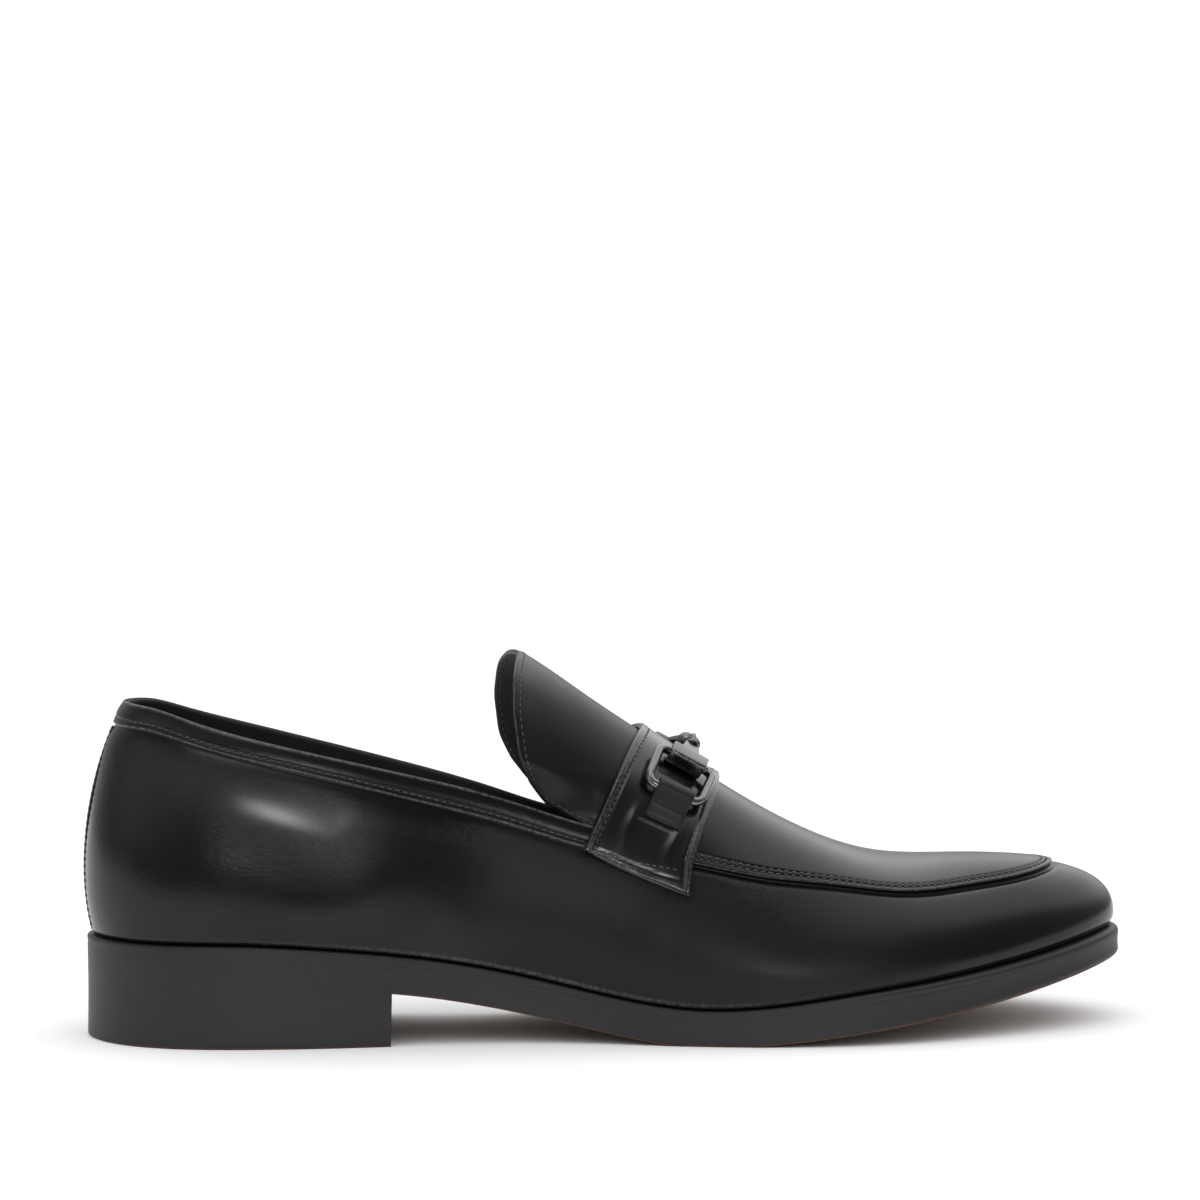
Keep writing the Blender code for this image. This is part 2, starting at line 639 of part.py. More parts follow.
def tab(name, side):
    """A leather loop round the ring's outer bar, with its long end down to the strap."""
    bar = bar_height()
    bend = RING_BAR / 2 + CLEARANCE + TAB_THICKNESS / 2
    low = CLEARANCE + TAB_THICKNESS / 2
    path = [(-TAB_TAIL, low), (-TAB_TAIL / 2, low)]
    for step in range(8):
        angle = math.radians(-90 + 30 * step)
        path.append((bend * math.cos(angle), bar + bend * math.sin(angle)))
    path.append((-TAB_TAIL, low + TAB_THICKNESS + CLEARANCE))
    path += [(-TAB_TAIL - 2 * TAB_THICKNESS, low), (-TAB_LENGTH, low)]
    path = np.array(path)
    run = np.gradient(path, axis=0)
    out = np.stack([run[:, 1], -run[:, 0]], axis=1)
    out /= np.linalg.norm(out, axis=1, keepdims=True)
    outline = np.concatenate([path + out * TAB_THICKNESS / 2, (path - out * TAB_THICKNESS / 2)[::-1]])
    edge = RING_FROM_CROWN + (RING_WIDTH - RING_BAR) / 2
    levels = np.linspace(-0.5, 0.5, 4) * TAB_WIDTH + BIT_FORWARD + TAB_ASIDE
    points = [(u, edge - v, h) for u in levels for v, h in outline]
    size = len(outline)
    faces = grid_faces(0, len(levels), size, True)
    for start in (0, (len(levels) - 1) * size):
        for i in range(len(path) - 1):
            faces.append((start + i, start + i + 1, start + size - 2 - i, start + size - 1 - i))
    return make_object(name, over_strap(points, side), faces, "tab_leather")


def fused(solids, cuts):
    """The points and faces of solids joined into one, less what is cut out of them."""
    items = []
    for points, faces in solids + cuts:
        mesh = bpy.data.meshes.new("blank")
        mesh.from_pydata([tuple(p) for p in points], [], faces)
        body = bmesh.new()
        body.from_mesh(mesh)
        bmesh.ops.recalc_face_normals(body, faces=body.faces)
        body.to_mesh(mesh)
        body.free()
        item = bpy.data.objects.new("blank", mesh)
        bpy.context.scene.collection.objects.link(item)
        items.append(item)
    for index, item in enumerate(items[1:], start=1):
        step = items[0].modifiers.new("step", "BOOLEAN")
        step.operation = "UNION" if index < len(solids) else "DIFFERENCE"
        step.object = item
    bpy.context.view_layer.update()
    made = items[0].evaluated_get(bpy.context.evaluated_depsgraph_get()).to_mesh()
    points = np.array([vertex.co[:] for vertex in made.vertices])
    faces = [tuple(face.vertices) for face in made.polygons]
    for item in items:
        bpy.data.objects.remove(item, do_unlink=True)
    return points, faces


def loft(sections):
    """A closed solid through sections that have as many points each, capped at both ends."""
    size = len(sections[0])
    faces = grid_faces(0, len(sections), size, True)
    faces.append(tuple(range(size)))
    faces.append(tuple((len(sections) - 1) * size + i for i in range(size)))
    return np.concatenate(sections), faces


def tube(path, outs, radius, sides):
    """A closed ring of round bar: points of its middle line, and two directions across each."""
    points = []
    for middle, (first, second) in zip(path, outs):
        for step in range(sides):
            angle = 2 * math.pi * (step + 0.5) / sides
            points.append(middle + radius * (math.cos(angle) * first + math.sin(angle) * second))
    faces = grid_faces(0, len(path), sides, True)
    start = (len(path) - 1) * sides
    for step in range(sides):
        after = (step + 1) % sides
        faces.append((start + step, start + after, after, step))
    return np.array(points), faces


def bevelled(half_across, half_height):
    """Eight points round a rectangle with its corners cut off."""
    cut = BEVEL * min(half_across, half_height)
    corners = []
    for sx, sz in ((1, 1), (-1, 1), (-1, -1), (1, -1)):
        near = (sx * (half_across - cut), sz * half_height)
        far = (sx * half_across, sz * (half_height - cut))
        corners += [far, near] if sx * sz > 0 else [near, far]
    return np.array(corners)


def circle(radius, sides):
    """Points round a circle, none of them straight above its middle."""
    angles = 2 * math.pi * (np.arange(sides) + 0.5) / sides
    return radius * np.column_stack([np.cos(angles), np.sin(angles)])


def bit_bar(name, side):
    """Half of the bit's bar: a barrel on the ring, a flat neck, a knot and an eye.

    The lateral eye lies flat and the medial one stands, so that each passes through the other.
    """
    bar = bar_height()
    inner_bar = RING_FROM_CROWN - (RING_WIDTH - RING_BAR) / 2
    hole = RING_BAR / 2 + CLEARANCE
    half = hole + BARREL_WALL
    eye_radius = (EYE_DIAMETER - EYE_WIRE) / 2
    eye_place = eye_radius / 2
    eye_height = EYE_DIAMETER / 2 + EYE_LIFT
    knot_place = eye_place + eye_radius + KNOT_DIAMETER / 2

    def along_ring(outline, length):
        """A straight prism of an outline along the ring's inner bar."""
        return loft([np.column_stack([np.full(len(outline), BIT_FORWARD + length * end),
                                      inner_bar + outline[:, 0], bar + outline[:, 1]])
                     for end in (-0.5, 0.0, 0.5)])

    neck = []
    for part in np.linspace(0.0, 1.0, 5):
        width = NECK_WIDTH + (NECK_END_WIDTH - NECK_WIDTH) * math.sqrt(part)
        outline = bevelled(width / 2, NECK_THICKNESS / 2)
        place = inner_bar - hole + (knot_place - inner_bar + hole) * part
        middle = bar + (eye_height - bar) * part
        neck.append(np.column_stack([BIT_FORWARD + outline[:, 0], np.full(len(outline), place),
                                     middle + outline[:, 1]]))
    knot = []
    for part in np.linspace(-KNOT_SHARE, KNOT_SHARE, 7):
        outline = circle(KNOT_DIAMETER / 2 * math.sqrt(1.0 - part * part), 10)
        knot.append(np.column_stack([BIT_FORWARD + outline[:, 0],
                                     np.full(len(outline), knot_place + part * KNOT_DIAMETER / 2),
                                     eye_height + outline[:, 1]]))
    turn = 2 * math.pi * np.arange(16) / 16
    flat = np.array([0.0, 0.0, 1.0]) if side > 0 else np.array([1.0, 0.0, 0.0])
    through = np.array([1.0, 0.0, 0.0]) if side > 0 else np.array([0.0, 0.0, 1.0])
    radial = np.cos(turn)[:, None] * np.array([0.0, 1.0, 0.0]) + np.sin(turn)[:, None] * flat
    middle = np.array([BIT_FORWARD, eye_place, eye_height])
    eye = tube(middle + eye_radius * radial, [(out, through) for out in radial], EYE_WIRE / 2, 8)
    barrel = along_ring(bevelled(half, half), BARREL_LENGTH)
    channel = along_ring(circle(hole, 10), BARREL_LENGTH + 2 * CLEARANCE)
    points, faces = fused([barrel, loft(neck), loft(knot), eye], [channel])
    return make_object(name, over_strap(points, side), faces, "gunmetal")


def build():
    """The whole shoe, in an emptied scene."""
    for item in list(bpy.data.objects):
        bpy.data.objects.remove(item, do_unlink=True)
    sole_unit()
    insole()
    upper()
    tongue()
    strap()
    for side, word in ((-1, "lateral"), (1, "medial")):
        ring("ring_" + word, side)
        tab("tab_" + word, side)
        bit_bar("bit_bar_" + word, side)


build()
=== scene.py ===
"""The finished look of the bit loafer: a man's slip-on for the right foot in polished black calf.

Every surface is worked out on the form of the last that the solids are cut from, at a finer
step, so each piece lies where its solid lies. Lengths are in metres. +X points to the toe, +Y
to the inner side of the foot and +Z up, with the origin under the middle of the heel.
"""

import math

import bmesh
import bpy
import numpy as np
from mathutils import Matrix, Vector


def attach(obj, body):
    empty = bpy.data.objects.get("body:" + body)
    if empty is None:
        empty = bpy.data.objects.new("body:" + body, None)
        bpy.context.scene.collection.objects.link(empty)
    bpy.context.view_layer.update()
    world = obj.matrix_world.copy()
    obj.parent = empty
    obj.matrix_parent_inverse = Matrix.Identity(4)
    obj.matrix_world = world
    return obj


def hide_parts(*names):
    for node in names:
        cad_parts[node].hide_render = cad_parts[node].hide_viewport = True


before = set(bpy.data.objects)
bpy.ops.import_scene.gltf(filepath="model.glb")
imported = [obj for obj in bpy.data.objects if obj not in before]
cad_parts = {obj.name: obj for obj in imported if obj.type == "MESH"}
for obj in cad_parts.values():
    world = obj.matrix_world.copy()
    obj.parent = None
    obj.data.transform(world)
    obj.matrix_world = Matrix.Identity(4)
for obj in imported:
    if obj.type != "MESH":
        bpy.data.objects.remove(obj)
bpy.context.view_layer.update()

# Sizes of the shoe, as in its source
SHOE_LENGTH = 0.305
BALL_WIDTH = 0.1015
HEEL_WIDTH = 0.067
HEEL_LENGTH = 0.0855
HEEL_HEIGHT = 0.0295
SOLE_THICKNESS = 0.0105
TOE_SPRING = 0.019
ARCH_RISE = 0.003
BACK_HEIGHT = 0.0975
INSTEP_HEIGHT = 0.0803
TOE_HEIGHT = 0.0478

WALL = 0.0016
RELIEF = 0.0009
BAND_WIDTH = 0.0078
SOLE_EDGE = 0.0018
EDGE_ROUND = 0.0009
SEAM_STEP = 0.006
BREAST_SLOPE = 0.0004
TREAD_FLAT = 0.0004
INSOLE_THICKNESS = 0.0025
TONGUE_THICKNESS = 0.0018
TONGUE_TUCK = 0.006
TONGUE_MARGIN = 0.001
TONGUE_FLARE = 0.0105
TUCK_CLEARANCE = 0.0008
STRAP_THICKNESS = 0.0016
CLEARANCE = 0.0003
CURVED_CLEARANCE = 0.0004

RING_LENGTH = 0.0205
RING_WIDTH = 0.0175
RING_CORNER = 0.0042
RING_BAR = 0.0028
RING_FROM_CROWN = 0.0247
BIT_FORWARD = 0.0015
BARREL_LENGTH = 0.0115
BARREL_WALL = 0.0010
NECK_WIDTH = 0.0085
NECK_END_WIDTH = 0.0040
NECK_THICKNESS = 0.0020
KNOT_DIAMETER = 0.0046
EYE_DIAMETER = 0.0054
EYE_WIRE = 0.0015
EYE_LIFT = 0.0006
TAB_WIDTH = 0.0112
TAB_LENGTH = 0.0095
TAB_TAIL = 0.0045
TAB_THICKNESS = 0.0012
TAB_ASIDE = 0.0005
INSTEP_SLOPE = 0.83

THROAT_ALONG = 0.572
STRAP_REAR = 0.528
STRAP_FRONT = 0.601
STRAP_REAR_SWEEP = 0.069
STRAP_FRONT_SWEEP = 0.040
STRAP_SWEEP_POWER = 1.5
STRAP_END = 0.372
STRAP_LAST_ROW = 0.94

SOLE_SECTIONS = (
    # along, lateral, medial, lift, spring, depth, arch
    (0.000, 0.000, 0.000, 1.00, 0.00, 1.00, 0.0),
    (0.010, 0.187, 0.187, 1.00, 0.00, 1.00, 0.0),
    (0.036, 0.343, 0.336, 1.00, 0.00, 1.00, 0.0),
    (0.079, 0.455, 0.433, 1.00, 0.00, 1.00, 0.0),
    (0.148, 0.515, 0.478, 0.99, 0.00, 1.00, 0.1),
    (0.230, 0.522, 0.463, 0.90, 0.00, 1.00, 0.4),
    (0.311, 0.488, 0.394, 0.76, 0.00, 0.98, 0.8),
    (0.393, 0.448, 0.335, 0.52, 0.00, 0.98, 1.0),
    (0.475, 0.445, 0.355, 0.22, 0.00, 0.96, 0.6),
    (0.557, 0.478, 0.429, 0.00, 0.00, 0.98, 0.0),
    (0.639, 0.496, 0.486, 0.00, 0.05, 0.98, 0.0),
    (0.715, 0.493, 0.507, 0.00, 0.19, 1.03, 0.0),
    (0.787, 0.458, 0.488, 0.00, 0.35, 1.00, 0.0),
    (0.852, 0.389, 0.433, 0.00, 0.52, 0.95, 0.0),
    (0.908, 0.312, 0.352, 0.00, 0.70, 0.90, 0.0),
    (0.954, 0.224, 0.252, 0.00, 0.86, 0.87, 0.0),
    (0.985, 0.124, 0.140, 0.00, 0.96, 0.84, 0.0),
    (1.000, 0.000, 0.000, 0.00, 1.00, 0.81, 0.0),
)

WALL_SECTIONS = (
    # crown, back, instep, toe, rise, splay, reach
    (0.125, 1.210, 0.00, 0.000, 0.37, 0.103, 0.75),
    (0.128, 1.210, 0.00, 0.000, 0.37, 0.101, 0.75),
    (0.138, 1.210, 0.00, 0.000, 0.37, 0.095, 0.75),
    (0.154, 1.210, 0.00, 0.000, 0.37, 0.100, 0.74),
    (0.184, 1.210, 0.00, 0.000, 0.37, 0.102, 0.73),
    (0.243, 1.210, 0.00, 0.000, 0.38, 0.095, 0.72),
    (0.316, 0.700, 0.61, 0.000, 0.39, 0.080, 0.71),
    (0.393, 0.000, 1.406, 0.000, 0.40, 0.065, 0.69),
    (0.475, 0.000, 1.208, 0.000, 0.37, 0.068, 0.67),
    (0.557, 0.000, 1.00, 0.000, 0.35, 0.070, 0.64),
    (0.639, 0.000, 0.60, 0.339, 0.35, 0.073, 0.66),
    (0.708, 0.000, 0.20, 0.790, 0.39, 0.095, 0.68),
    (0.764, 0.000, 0.00, 1.022, 0.45, 0.110, 0.70),
    (0.810, 0.000, 0.00, 1.000, 0.49, 0.110, 0.70),
    (0.838, 0.000, 0.00, 1.000, 0.53, 0.110, 0.72),
    (0.853, 0.000, 0.00, 1.000, 0.58, 0.110, 0.74),
    (0.860, 0.000, 0.00, 1.000, 0.64, 0.115, 0.75),
    (0.862, 0.000, 0.00, 1.000, 0.68, 0.120, 0.75),
)

COLLAR_SECTIONS = (
    # lateral, medial, band
    (1.000, 1.000, 0.86),
    (0.997, 0.997, 0.84),
    (0.988, 0.988, 0.80),
    (0.956, 0.955, 0.79),
    (0.906, 0.903, 0.80),
    (0.849, 0.840, 0.84),
    (0.790, 0.776, 0.91),
    (0.722, 0.702, 0.93),
    (0.641, 0.622, 0.88),
)

APRON_SEAM = (0.470, 0.530, 0.590, 0.600, 0.620, 0.635, 0.665, 0.695, 0.710)

TONGUE_SHAPE = (
    # across, wall, free, root, flare
    (0.0, 1.00, 0.4145, 0.590, 0.00),
    (0.2, 0.90, 0.4080, 0.590, 0.60),
    (0.4, 0.78, 0.4010, 0.588, 1.00),
    (0.6, 0.65, 0.3990, 0.580, 1.00),
    (0.8, 0.53, 0.4040, 0.565, 0.70),
    (0.9, 0.48, 0.4150, 0.550, 0.35),
    (1.0, 0.45, 0.4310, 0.535, 0.00),
)

HEEL_MIDDLE = HEEL_LENGTH / 2
THROAT_ROW = len(COLLAR_SECTIONS) - 1
TO_ORIGIN = np.array([-HEEL_MIDDLE, 0.0, 0.0])
NUDGE = 1e-4              # the step, in ring positions and shares, that slopes are taken over
CROWN_GAP = 8e-4          # how far below the crown line, in shares, slopes are last taken
WELD = 1e-5               # points closer than this are made one
RING_RUN = 1.17 * SHOE_LENGTH       # about how far a unit of ring position runs
BAR_ASIDE = (RING_WIDTH - RING_BAR) / 2     # a ring's two bars from its middle
BAR_HEIGHT = CLEARANCE + TAB_THICKNESS + CLEARANCE + RING_BAR / 2   # the tab runs under it

# What only the finished look has
LIP = 0.0004              # radius of the folded edge along the seam
GROOVE = 0.0011           # how deep the wall sinks under that edge
GROOVE_WIDTH = 0.0016
HEEL_FOLD = 0.0005        # how far the fold stands out round the collar
STITCH_PITCH = 0.0023
THREAD = 0.00042
ROW_ONE = 0.0017          # the stitches' distances from the folded edge
ROW_TWO = 0.0031
TOP_ROLL = 0.00125
CHANNEL_ONE = 0.00030     # how deep the two rows of stitches pull the leather down
CHANNEL_TWO = 0.00028
CHANNEL_WIDTH = 0.00034
COLLAR_PADDING = 0.00022
APRON_PADDING = 0.00014
FINE_PITCH = 0.0021
STITCH_FILL = 0.72        # the part of a pitch that its stitch lies over
SEAM_STRIP = 0.0016       # half width of the strip down the heel's back
THREAD_LIFT = 0.00008     # how far the strap's stitches lie out of it, and the tongue's in it
TONGUE_MARGIN_ROW = 0.0017
STRAP_MARGIN_ROW = 0.0023

# Soft ridges and troughs of the quarters and the vamp. Each runs from one point to another:
# x is a share of SHOE_LENGTH from the heel's back, z a share of BACK_HEIGHT, width its half
# width and height how far it stands out, in metres. side is -1 for the outer side.
FOLDS = (
    # side, x0, z0, x1, z1, width, height
    (-1, 0.075, 0.860, 0.225, 0.600, 0.0085, 0.0004),
    (-1, 0.110, 0.640, 0.235, 0.500, 0.0075, -0.0004),
    (-1, 0.250, 0.690, 0.420, 0.520, 0.0055, 0.0003),
    (-1, 0.400, 0.390, 0.520, 0.318, 0.0100, 0.00065),
    (-1, 0.530, 0.297, 0.665, 0.195, 0.0090, 0.00050),
    (-1, 0.590, 0.500, 0.612, 0.350, 0.0022, -0.00018),
    (-1, 0.612, 0.510, 0.632, 0.360, 0.0020, -0.00016),
    (-1, 0.640, 0.500, 0.655, 0.370, 0.0022, -0.00014),
    (1, 0.080, 0.850, 0.215, 0.590, 0.0080, 0.0005),
    (1, 0.260, 0.660, 0.430, 0.490, 0.0060, 0.0003),
    (1, 0.590, 0.480, 0.620, 0.340, 0.0024, -0.00018),
    (1, 0.630, 0.480, 0.655, 0.350, 0.0024, -0.00016),
)

# The soft ridges that the tabs pull up in the strap beside their ends.
STRAP_PULLS = (
    # forward, lean, height
    (-0.0085, -0.15, 0.00050),
    (0.0078, -0.15, 0.00040),
)

# The polished patches, whose base colour is also lightened as a painted highlight: ends as in
# FOLDS, and the half width.
SHINE = (
    # side, x0, z0, x1, z1, width
    (-1, 0.105, 0.780, 0.235, 0.605, 0.0095),
    (1, 0.110, 0.780, 0.225, 0.610, 0.0095),
)

# The painted highlight round the tongue's rolled edge, one value for each point across it.
RIM_HIGHLIGHT = (0.0, 0.5, 0.7, 0.5, 0.3, 0.0, 0.2, 0.5, 0.3, 0.0, 0.0)

# The room's light: the white dome that lights the floor, and what shows in reflections, which is
# a dark room with a white wall behind, a soft box over the shoe and smaller lights round it.
DOME_HORIZON = 0.35
DOME_TOP = 1.50
FRONT = 0.09
BACKDROP = 0.40
BOX_STRENGTH = 1.20
BOX_WAY = (0.30, 0.45, 0.85)
BOX_EDGE = (0.56, 0.86)
WINDOWS = (
    # direction, narrowness, strength
    ((0.00, -0.98, 0.19), 170.0, 10.5),
    ((0.00, -0.38, 0.92), 45.0, 2.6),
    ((-0.70, -0.60, 0.35), 5.0, 0.45),
    ((-0.96, -0.10, 0.20), 9.0, 0.55),
    ((0.85, 0.10, 0.50), 6.0, 0.35),
)
FLOOR_CORNERS = ((-1.2, -0.22), (1.4, 1.6))

# The photograph's view: what it looks at, from where, and how much it takes in there
VIEW_ALONG = 0.150
VIEW_UP = 0.1251
VIEW_TURN = -7.0          # degrees from square on, towards the heel
VIEW_AWAY = 1.5
VIEW_RISE = 0.1209
VIEW_WIDTH = 0.3509
SENSOR = 36.0


# Arithmetic
def smooth_step(share):
    """0 below 0 and 1 above 1, and between them three times the square less twice the cube."""
    share = np.clip(share, 0.0, 1.0)
    return share * share * (3.0 - 2.0 * share)


def bell(distance, width):
    """1 at no distance, falling as e to the minus square of distance over width."""
    return np.exp(-(distance / width) ** 2)


def unit(vectors):
    """Vectors of any array, each divided by its own length."""
    return vectors / np.maximum(np.linalg.norm(vectors, axis=-1, keepdims=True), 1e-12)


def closed_spline(knots, values, period):
    """A cubic spline through one row of values per knot that runs on round a closed ring."""
    knots = np.asarray(knots, dtype=float)
    values = np.asarray(values, dtype=float)
    count = len(knots)
    step = np.diff(np.append(knots, knots[0] + period))
    here = np.arange(count)
    matrix = np.zeros((count, count))
    matrix[here, here - 1] += step[here - 1]
    matrix[here, here] += 2.0 * (step[here - 1] + step)
    matrix[here, (here + 1) % count] += step
    rise = (np.roll(values, -1, axis=0) - values) / step[:, None]
    bend = np.linalg.solve(matrix, 6.0 * (rise - np.roll(rise, 1, axis=0)))

    def curve(position):
        """The spline's values at ring positions of any shape, with the columns last."""
        wrapped = knots[0] + np.mod(np.asarray(position, dtype=float) - knots[0], period)
        index = np.clip(np.searchsorted(knots, wrapped, side="right") - 1, 0, count - 1)
        after = (index + 1) % count
        far = ((wrapped - knots[index]) / step[index])[..., None]
        near = 1.0 - far
        span = (step[index] ** 2)[..., None] / 6.0
        line = near * values[index] + far * values[after]
        return line + ((near**3 - near) * bend[index] + (far**3 - far) * bend[after]) * span

    return curve


# The form of the last
class Last:
    """The form that the shoe is built on.

    A ring position runs from 0 at the heel's back to 1 at the toe's tip, negative on the outer
    side. A wall share runs from 0 at the sole to 1 on the crown line. Between them a point lies
    on a cubic curve whose four control points run round the ring as closed splines.
    """

    def __init__(self):
        wall = np.array(WALL_SECTIONS)
        along, lateral, medial, lift, spring, depth, arch = np.array(SOLE_SECTIONS).T
        x = along * SHOE_LENGTH
        width = HEEL_WIDTH + (BALL_WIDTH - HEEL_WIDTH) * smooth_step((along - 0.25) / 0.47)
        under = lift * (HEEL_HEIGHT - SOLE_THICKNESS) + spring * TOE_SPRING
        edges = {}
        for side, half, raised in ((-1, lateral, 0.0), (1, medial, arch * ARCH_RISE)):
            low = under + raised
            edges[side] = np.stack([x, side * half * width, low + depth * SOLE_THICKNESS, low], 1)
        steps = sum(np.hypot(*np.diff(edges[side][:, :2], axis=0).T) for side in (-1, 1))
        self.stations = np.append(0.0, np.cumsum(steps)) / np.sum(steps)
        self.knots = np.concatenate([-self.stations[::-1], self.stations[1:-1]])
        self.edge = self.round(edges[-1], edges[1])
        self.controls = self.round(*[self.wall_controls(s * self.stations, wall) for s in (-1, 1)])
        self.marks = self.round(*[self.seam_and_collar(side) for side in (-1, 1)])
        self.collar_end = self.stations[THROAT_ROW]
        self.throat = float(self.station_at(THROAT_ALONG * SHOE_LENGTH))

    def round(self, lateral, medial):
        """The closed spline through section rows of both sides."""
        return closed_spline(self.knots, np.concatenate([lateral[::-1], medial[1:-1]]), 2.0)

    def outward(self, ring):
        """The sole outline's outward direction in plan: its run turned a quarter."""
        run = unit(self.edge(ring + NUDGE)[..., :2] - self.edge(ring - NUDGE)[..., :2])
        return np.stack([-run[..., 1], run[..., 0]], axis=-1)

    def foot(self, ring, inset):
        """Points on the sole's top, a distance in from its edge."""
        edge = self.edge(ring)
        flat = edge[..., :2] - self.outward(ring) * np.asarray(inset)[..., None]
        return np.concatenate([flat, edge[..., 2:3]], axis=-1)

    def wall_controls(self, ring, wall):
        """The four control points of each section's wall curve, as one row of twelve."""
        crown, back, instep, toe, rise, splay, reach = wall.T
        foot = self.foot(ring, np.full(len(ring), SOLE_EDGE))
        foot[:, 2] += CLEARANCE
        crown_z = back * BACK_HEIGHT + instep * INSTEP_HEIGHT + toe * TOE_HEIGHT
        top = np.stack([crown * SHOE_LENGTH, np.zeros(len(crown)), crown_z], axis=1)
        height = (top[:, 2] - foot[:, 2])[:, None]
        slope = np.gradient(top[:, 2], top[:, 0])
        lead = foot + np.pad(self.outward(ring) * splay[:, None] * height, ((0, 0), (0, 1)))
        lead[:, 2] += rise * height[:, 0]
        over = top + reach[:, None] * (foot - top)
        over[:, 2] = top[:, 2] + slope * (over[:, 0] - top[:, 0])
        return np.concatenate([foot, lead, over, top], axis=1)

    def seam_and_collar(self, side):
        """Wall shares of the folded seam and the collar's edge at each section of one side."""
        marks = np.zeros((len(self.stations), 2))
        shares = np.linspace(0.0, 1.0, 201)
        for row, (lateral, medial, band) in enumerate(COLLAR_SECTIONS):
            heights = self.point(side * self.stations[row], shares)[:, 2]
            edge_z = (lateral if side < 0 else medial) * BACK_HEIGHT
            marks[row] = np.interp((edge_z - band * BAND_WIDTH, edge_z), heights, shares)
        marks[THROAT_ROW + 1:, 0] = APRON_SEAM
        marks[THROAT_ROW + 1:, 1] = np.array(APRON_SEAM) + np.diff(marks[THROAT_ROW])
        return marks

    def station_at(self, x):
        """The ring positions of the inner side whose sole edge lies at distances along."""
        fine = np.linspace(0.0, 1.0, 4001)
        return np.interp(x, self.edge(fine)[:, 0], fine)

    def point(self, ring, share):
        """Points of the form itself, on the cubic curve of four control points."""
        ring, share = np.broadcast_arrays(ring, share)
        controls = self.controls(ring)
        share = np.asarray(share, dtype=float)[..., None]
        rest = 1.0 - share
        return (rest**3 * controls[..., 0:3] + 3.0 * rest**2 * share * controls[..., 3:6]
                + 3.0 * rest * share**2 * controls[..., 6:9] + share**3 * controls[..., 9:12])

    def up(self, ring, share):
        """The wall curve's run per unit of share, towards the crown line."""
        share = np.clip(share, NUDGE, 1.0 - CROWN_GAP)
        rise = self.point(ring, share + NUDGE) - self.point(ring, share - NUDGE)
        return rise / (2 * NUDGE)

    def normal(self, ring, share):
        """Outward directions of the form: the run upwards crossed with the run round."""
        ring, share = np.broadcast_arrays(ring, share)
        held = np.clip(share, NUDGE, 1.0 - CROWN_GAP)
        on = self.point(ring + NUDGE, held) - self.point(ring - NUDGE, held)
        out = np.cross(self.up(ring, held), on)
        out[..., 1] = np.where(share > 1.0 - 1e-9, 0.0, out[..., 1])
        return unit(out)

    def raised(self, ring, share, height):
        """Points a height above the form, along its outward direction."""
        ring, share = np.broadcast_arrays(ring, share)
        height = np.broadcast_to(height, ring.shape)
        return self.point(ring, share) + self.normal(ring, share) * height[..., None]

    def top_share(self, ring):
        """The wall share where the upper ends: the collar, the throat's arc, or the crown."""
        station = np.abs(ring)
        last_collar = self.marks(np.sign(ring) * self.collar_end)[..., 1]
        part = np.clip((station - self.collar_end) / (self.throat - self.collar_end), 0.0, 1.0)
        arc = 1.0 - (1.0 - last_collar) * np.sqrt(1.0 - part * part)
        return np.where(station <= self.collar_end, self.marks(ring)[..., 1], arc)

    def open_by(self, ring, share):
        """How far a point lies inside the collar and the throat, clear of the upper's edge."""
        controls = self.controls(ring)
        above = (share - self.top_share(ring)) * (controls[..., 11] - controls[..., 2])
        last_collar = self.marks(np.sign(ring) * self.collar_end)[..., 1]
        left = np.clip((1.0 - share) / (1.0 - last_collar), 0.0, 1.0)
        arc = self.collar_end + (self.throat - self.collar_end) * np.sqrt(1.0 - left * left)
        behind = self.edge(arc)[..., 0] - self.edge(np.abs(ring))[..., 0]
        inside = np.maximum(above, 1e-6) * np.maximum(behind, 1e-6)
        return np.where(np.minimum(above, behind) > 0.0, inside / np.hypot(above, behind), 0.0)


LAST = Last()


def ring_positions(rear, throat, front):
    """Ring positions round the whole shoe: even behind the collar's end, as a sine over the
    throat's arc and even again to the toe, but closer towards the toe's tip."""
    back = LAST.collar_end * np.linspace(0.0, 1.0, rear)
    arc = LAST.throat - LAST.collar_end
    middle = LAST.collar_end + arc * np.sin(np.linspace(0.0, math.pi / 2, throat))
    turn = np.linspace(0.0, 1.0, front)
    turn = turn + 0.14 * np.sin(np.pi * turn) * turn
    ahead = LAST.throat + (1.0 - LAST.throat) * turn
    stations = np.concatenate([back, middle[1:], ahead[1:]])
    return np.concatenate([-stations[::-1], stations[1:-1]])


# Meshes from arrays
def grid_quads(rows, columns, wrap_rows=False, wrap_columns=False):
    """Quads between neighbouring points of a grid stored row by row: (row, column), the next
    column, the next of both, and the next row."""
    row = np.arange(rows if wrap_rows else rows - 1)[:, None]
    column = np.arange(columns if wrap_columns else columns - 1)[None, :]
    below = (row + 1) % rows * columns
    after = (column + 1) % columns
    row = row * columns
    quads = np.stack([row + column, row + after, below + after, below + column], axis=-1)
    return quads.reshape(-1, 4)


def together(parts):
    """Several (points, quads) pairs as one, with the later quads counted on."""
    counts = np.cumsum([0] + [len(points) for points, _ in parts])
    quads = [quads + start for (_, quads), start in zip(parts, counts)]
    return np.concatenate([points for points, _ in parts]), np.concatenate(quads)


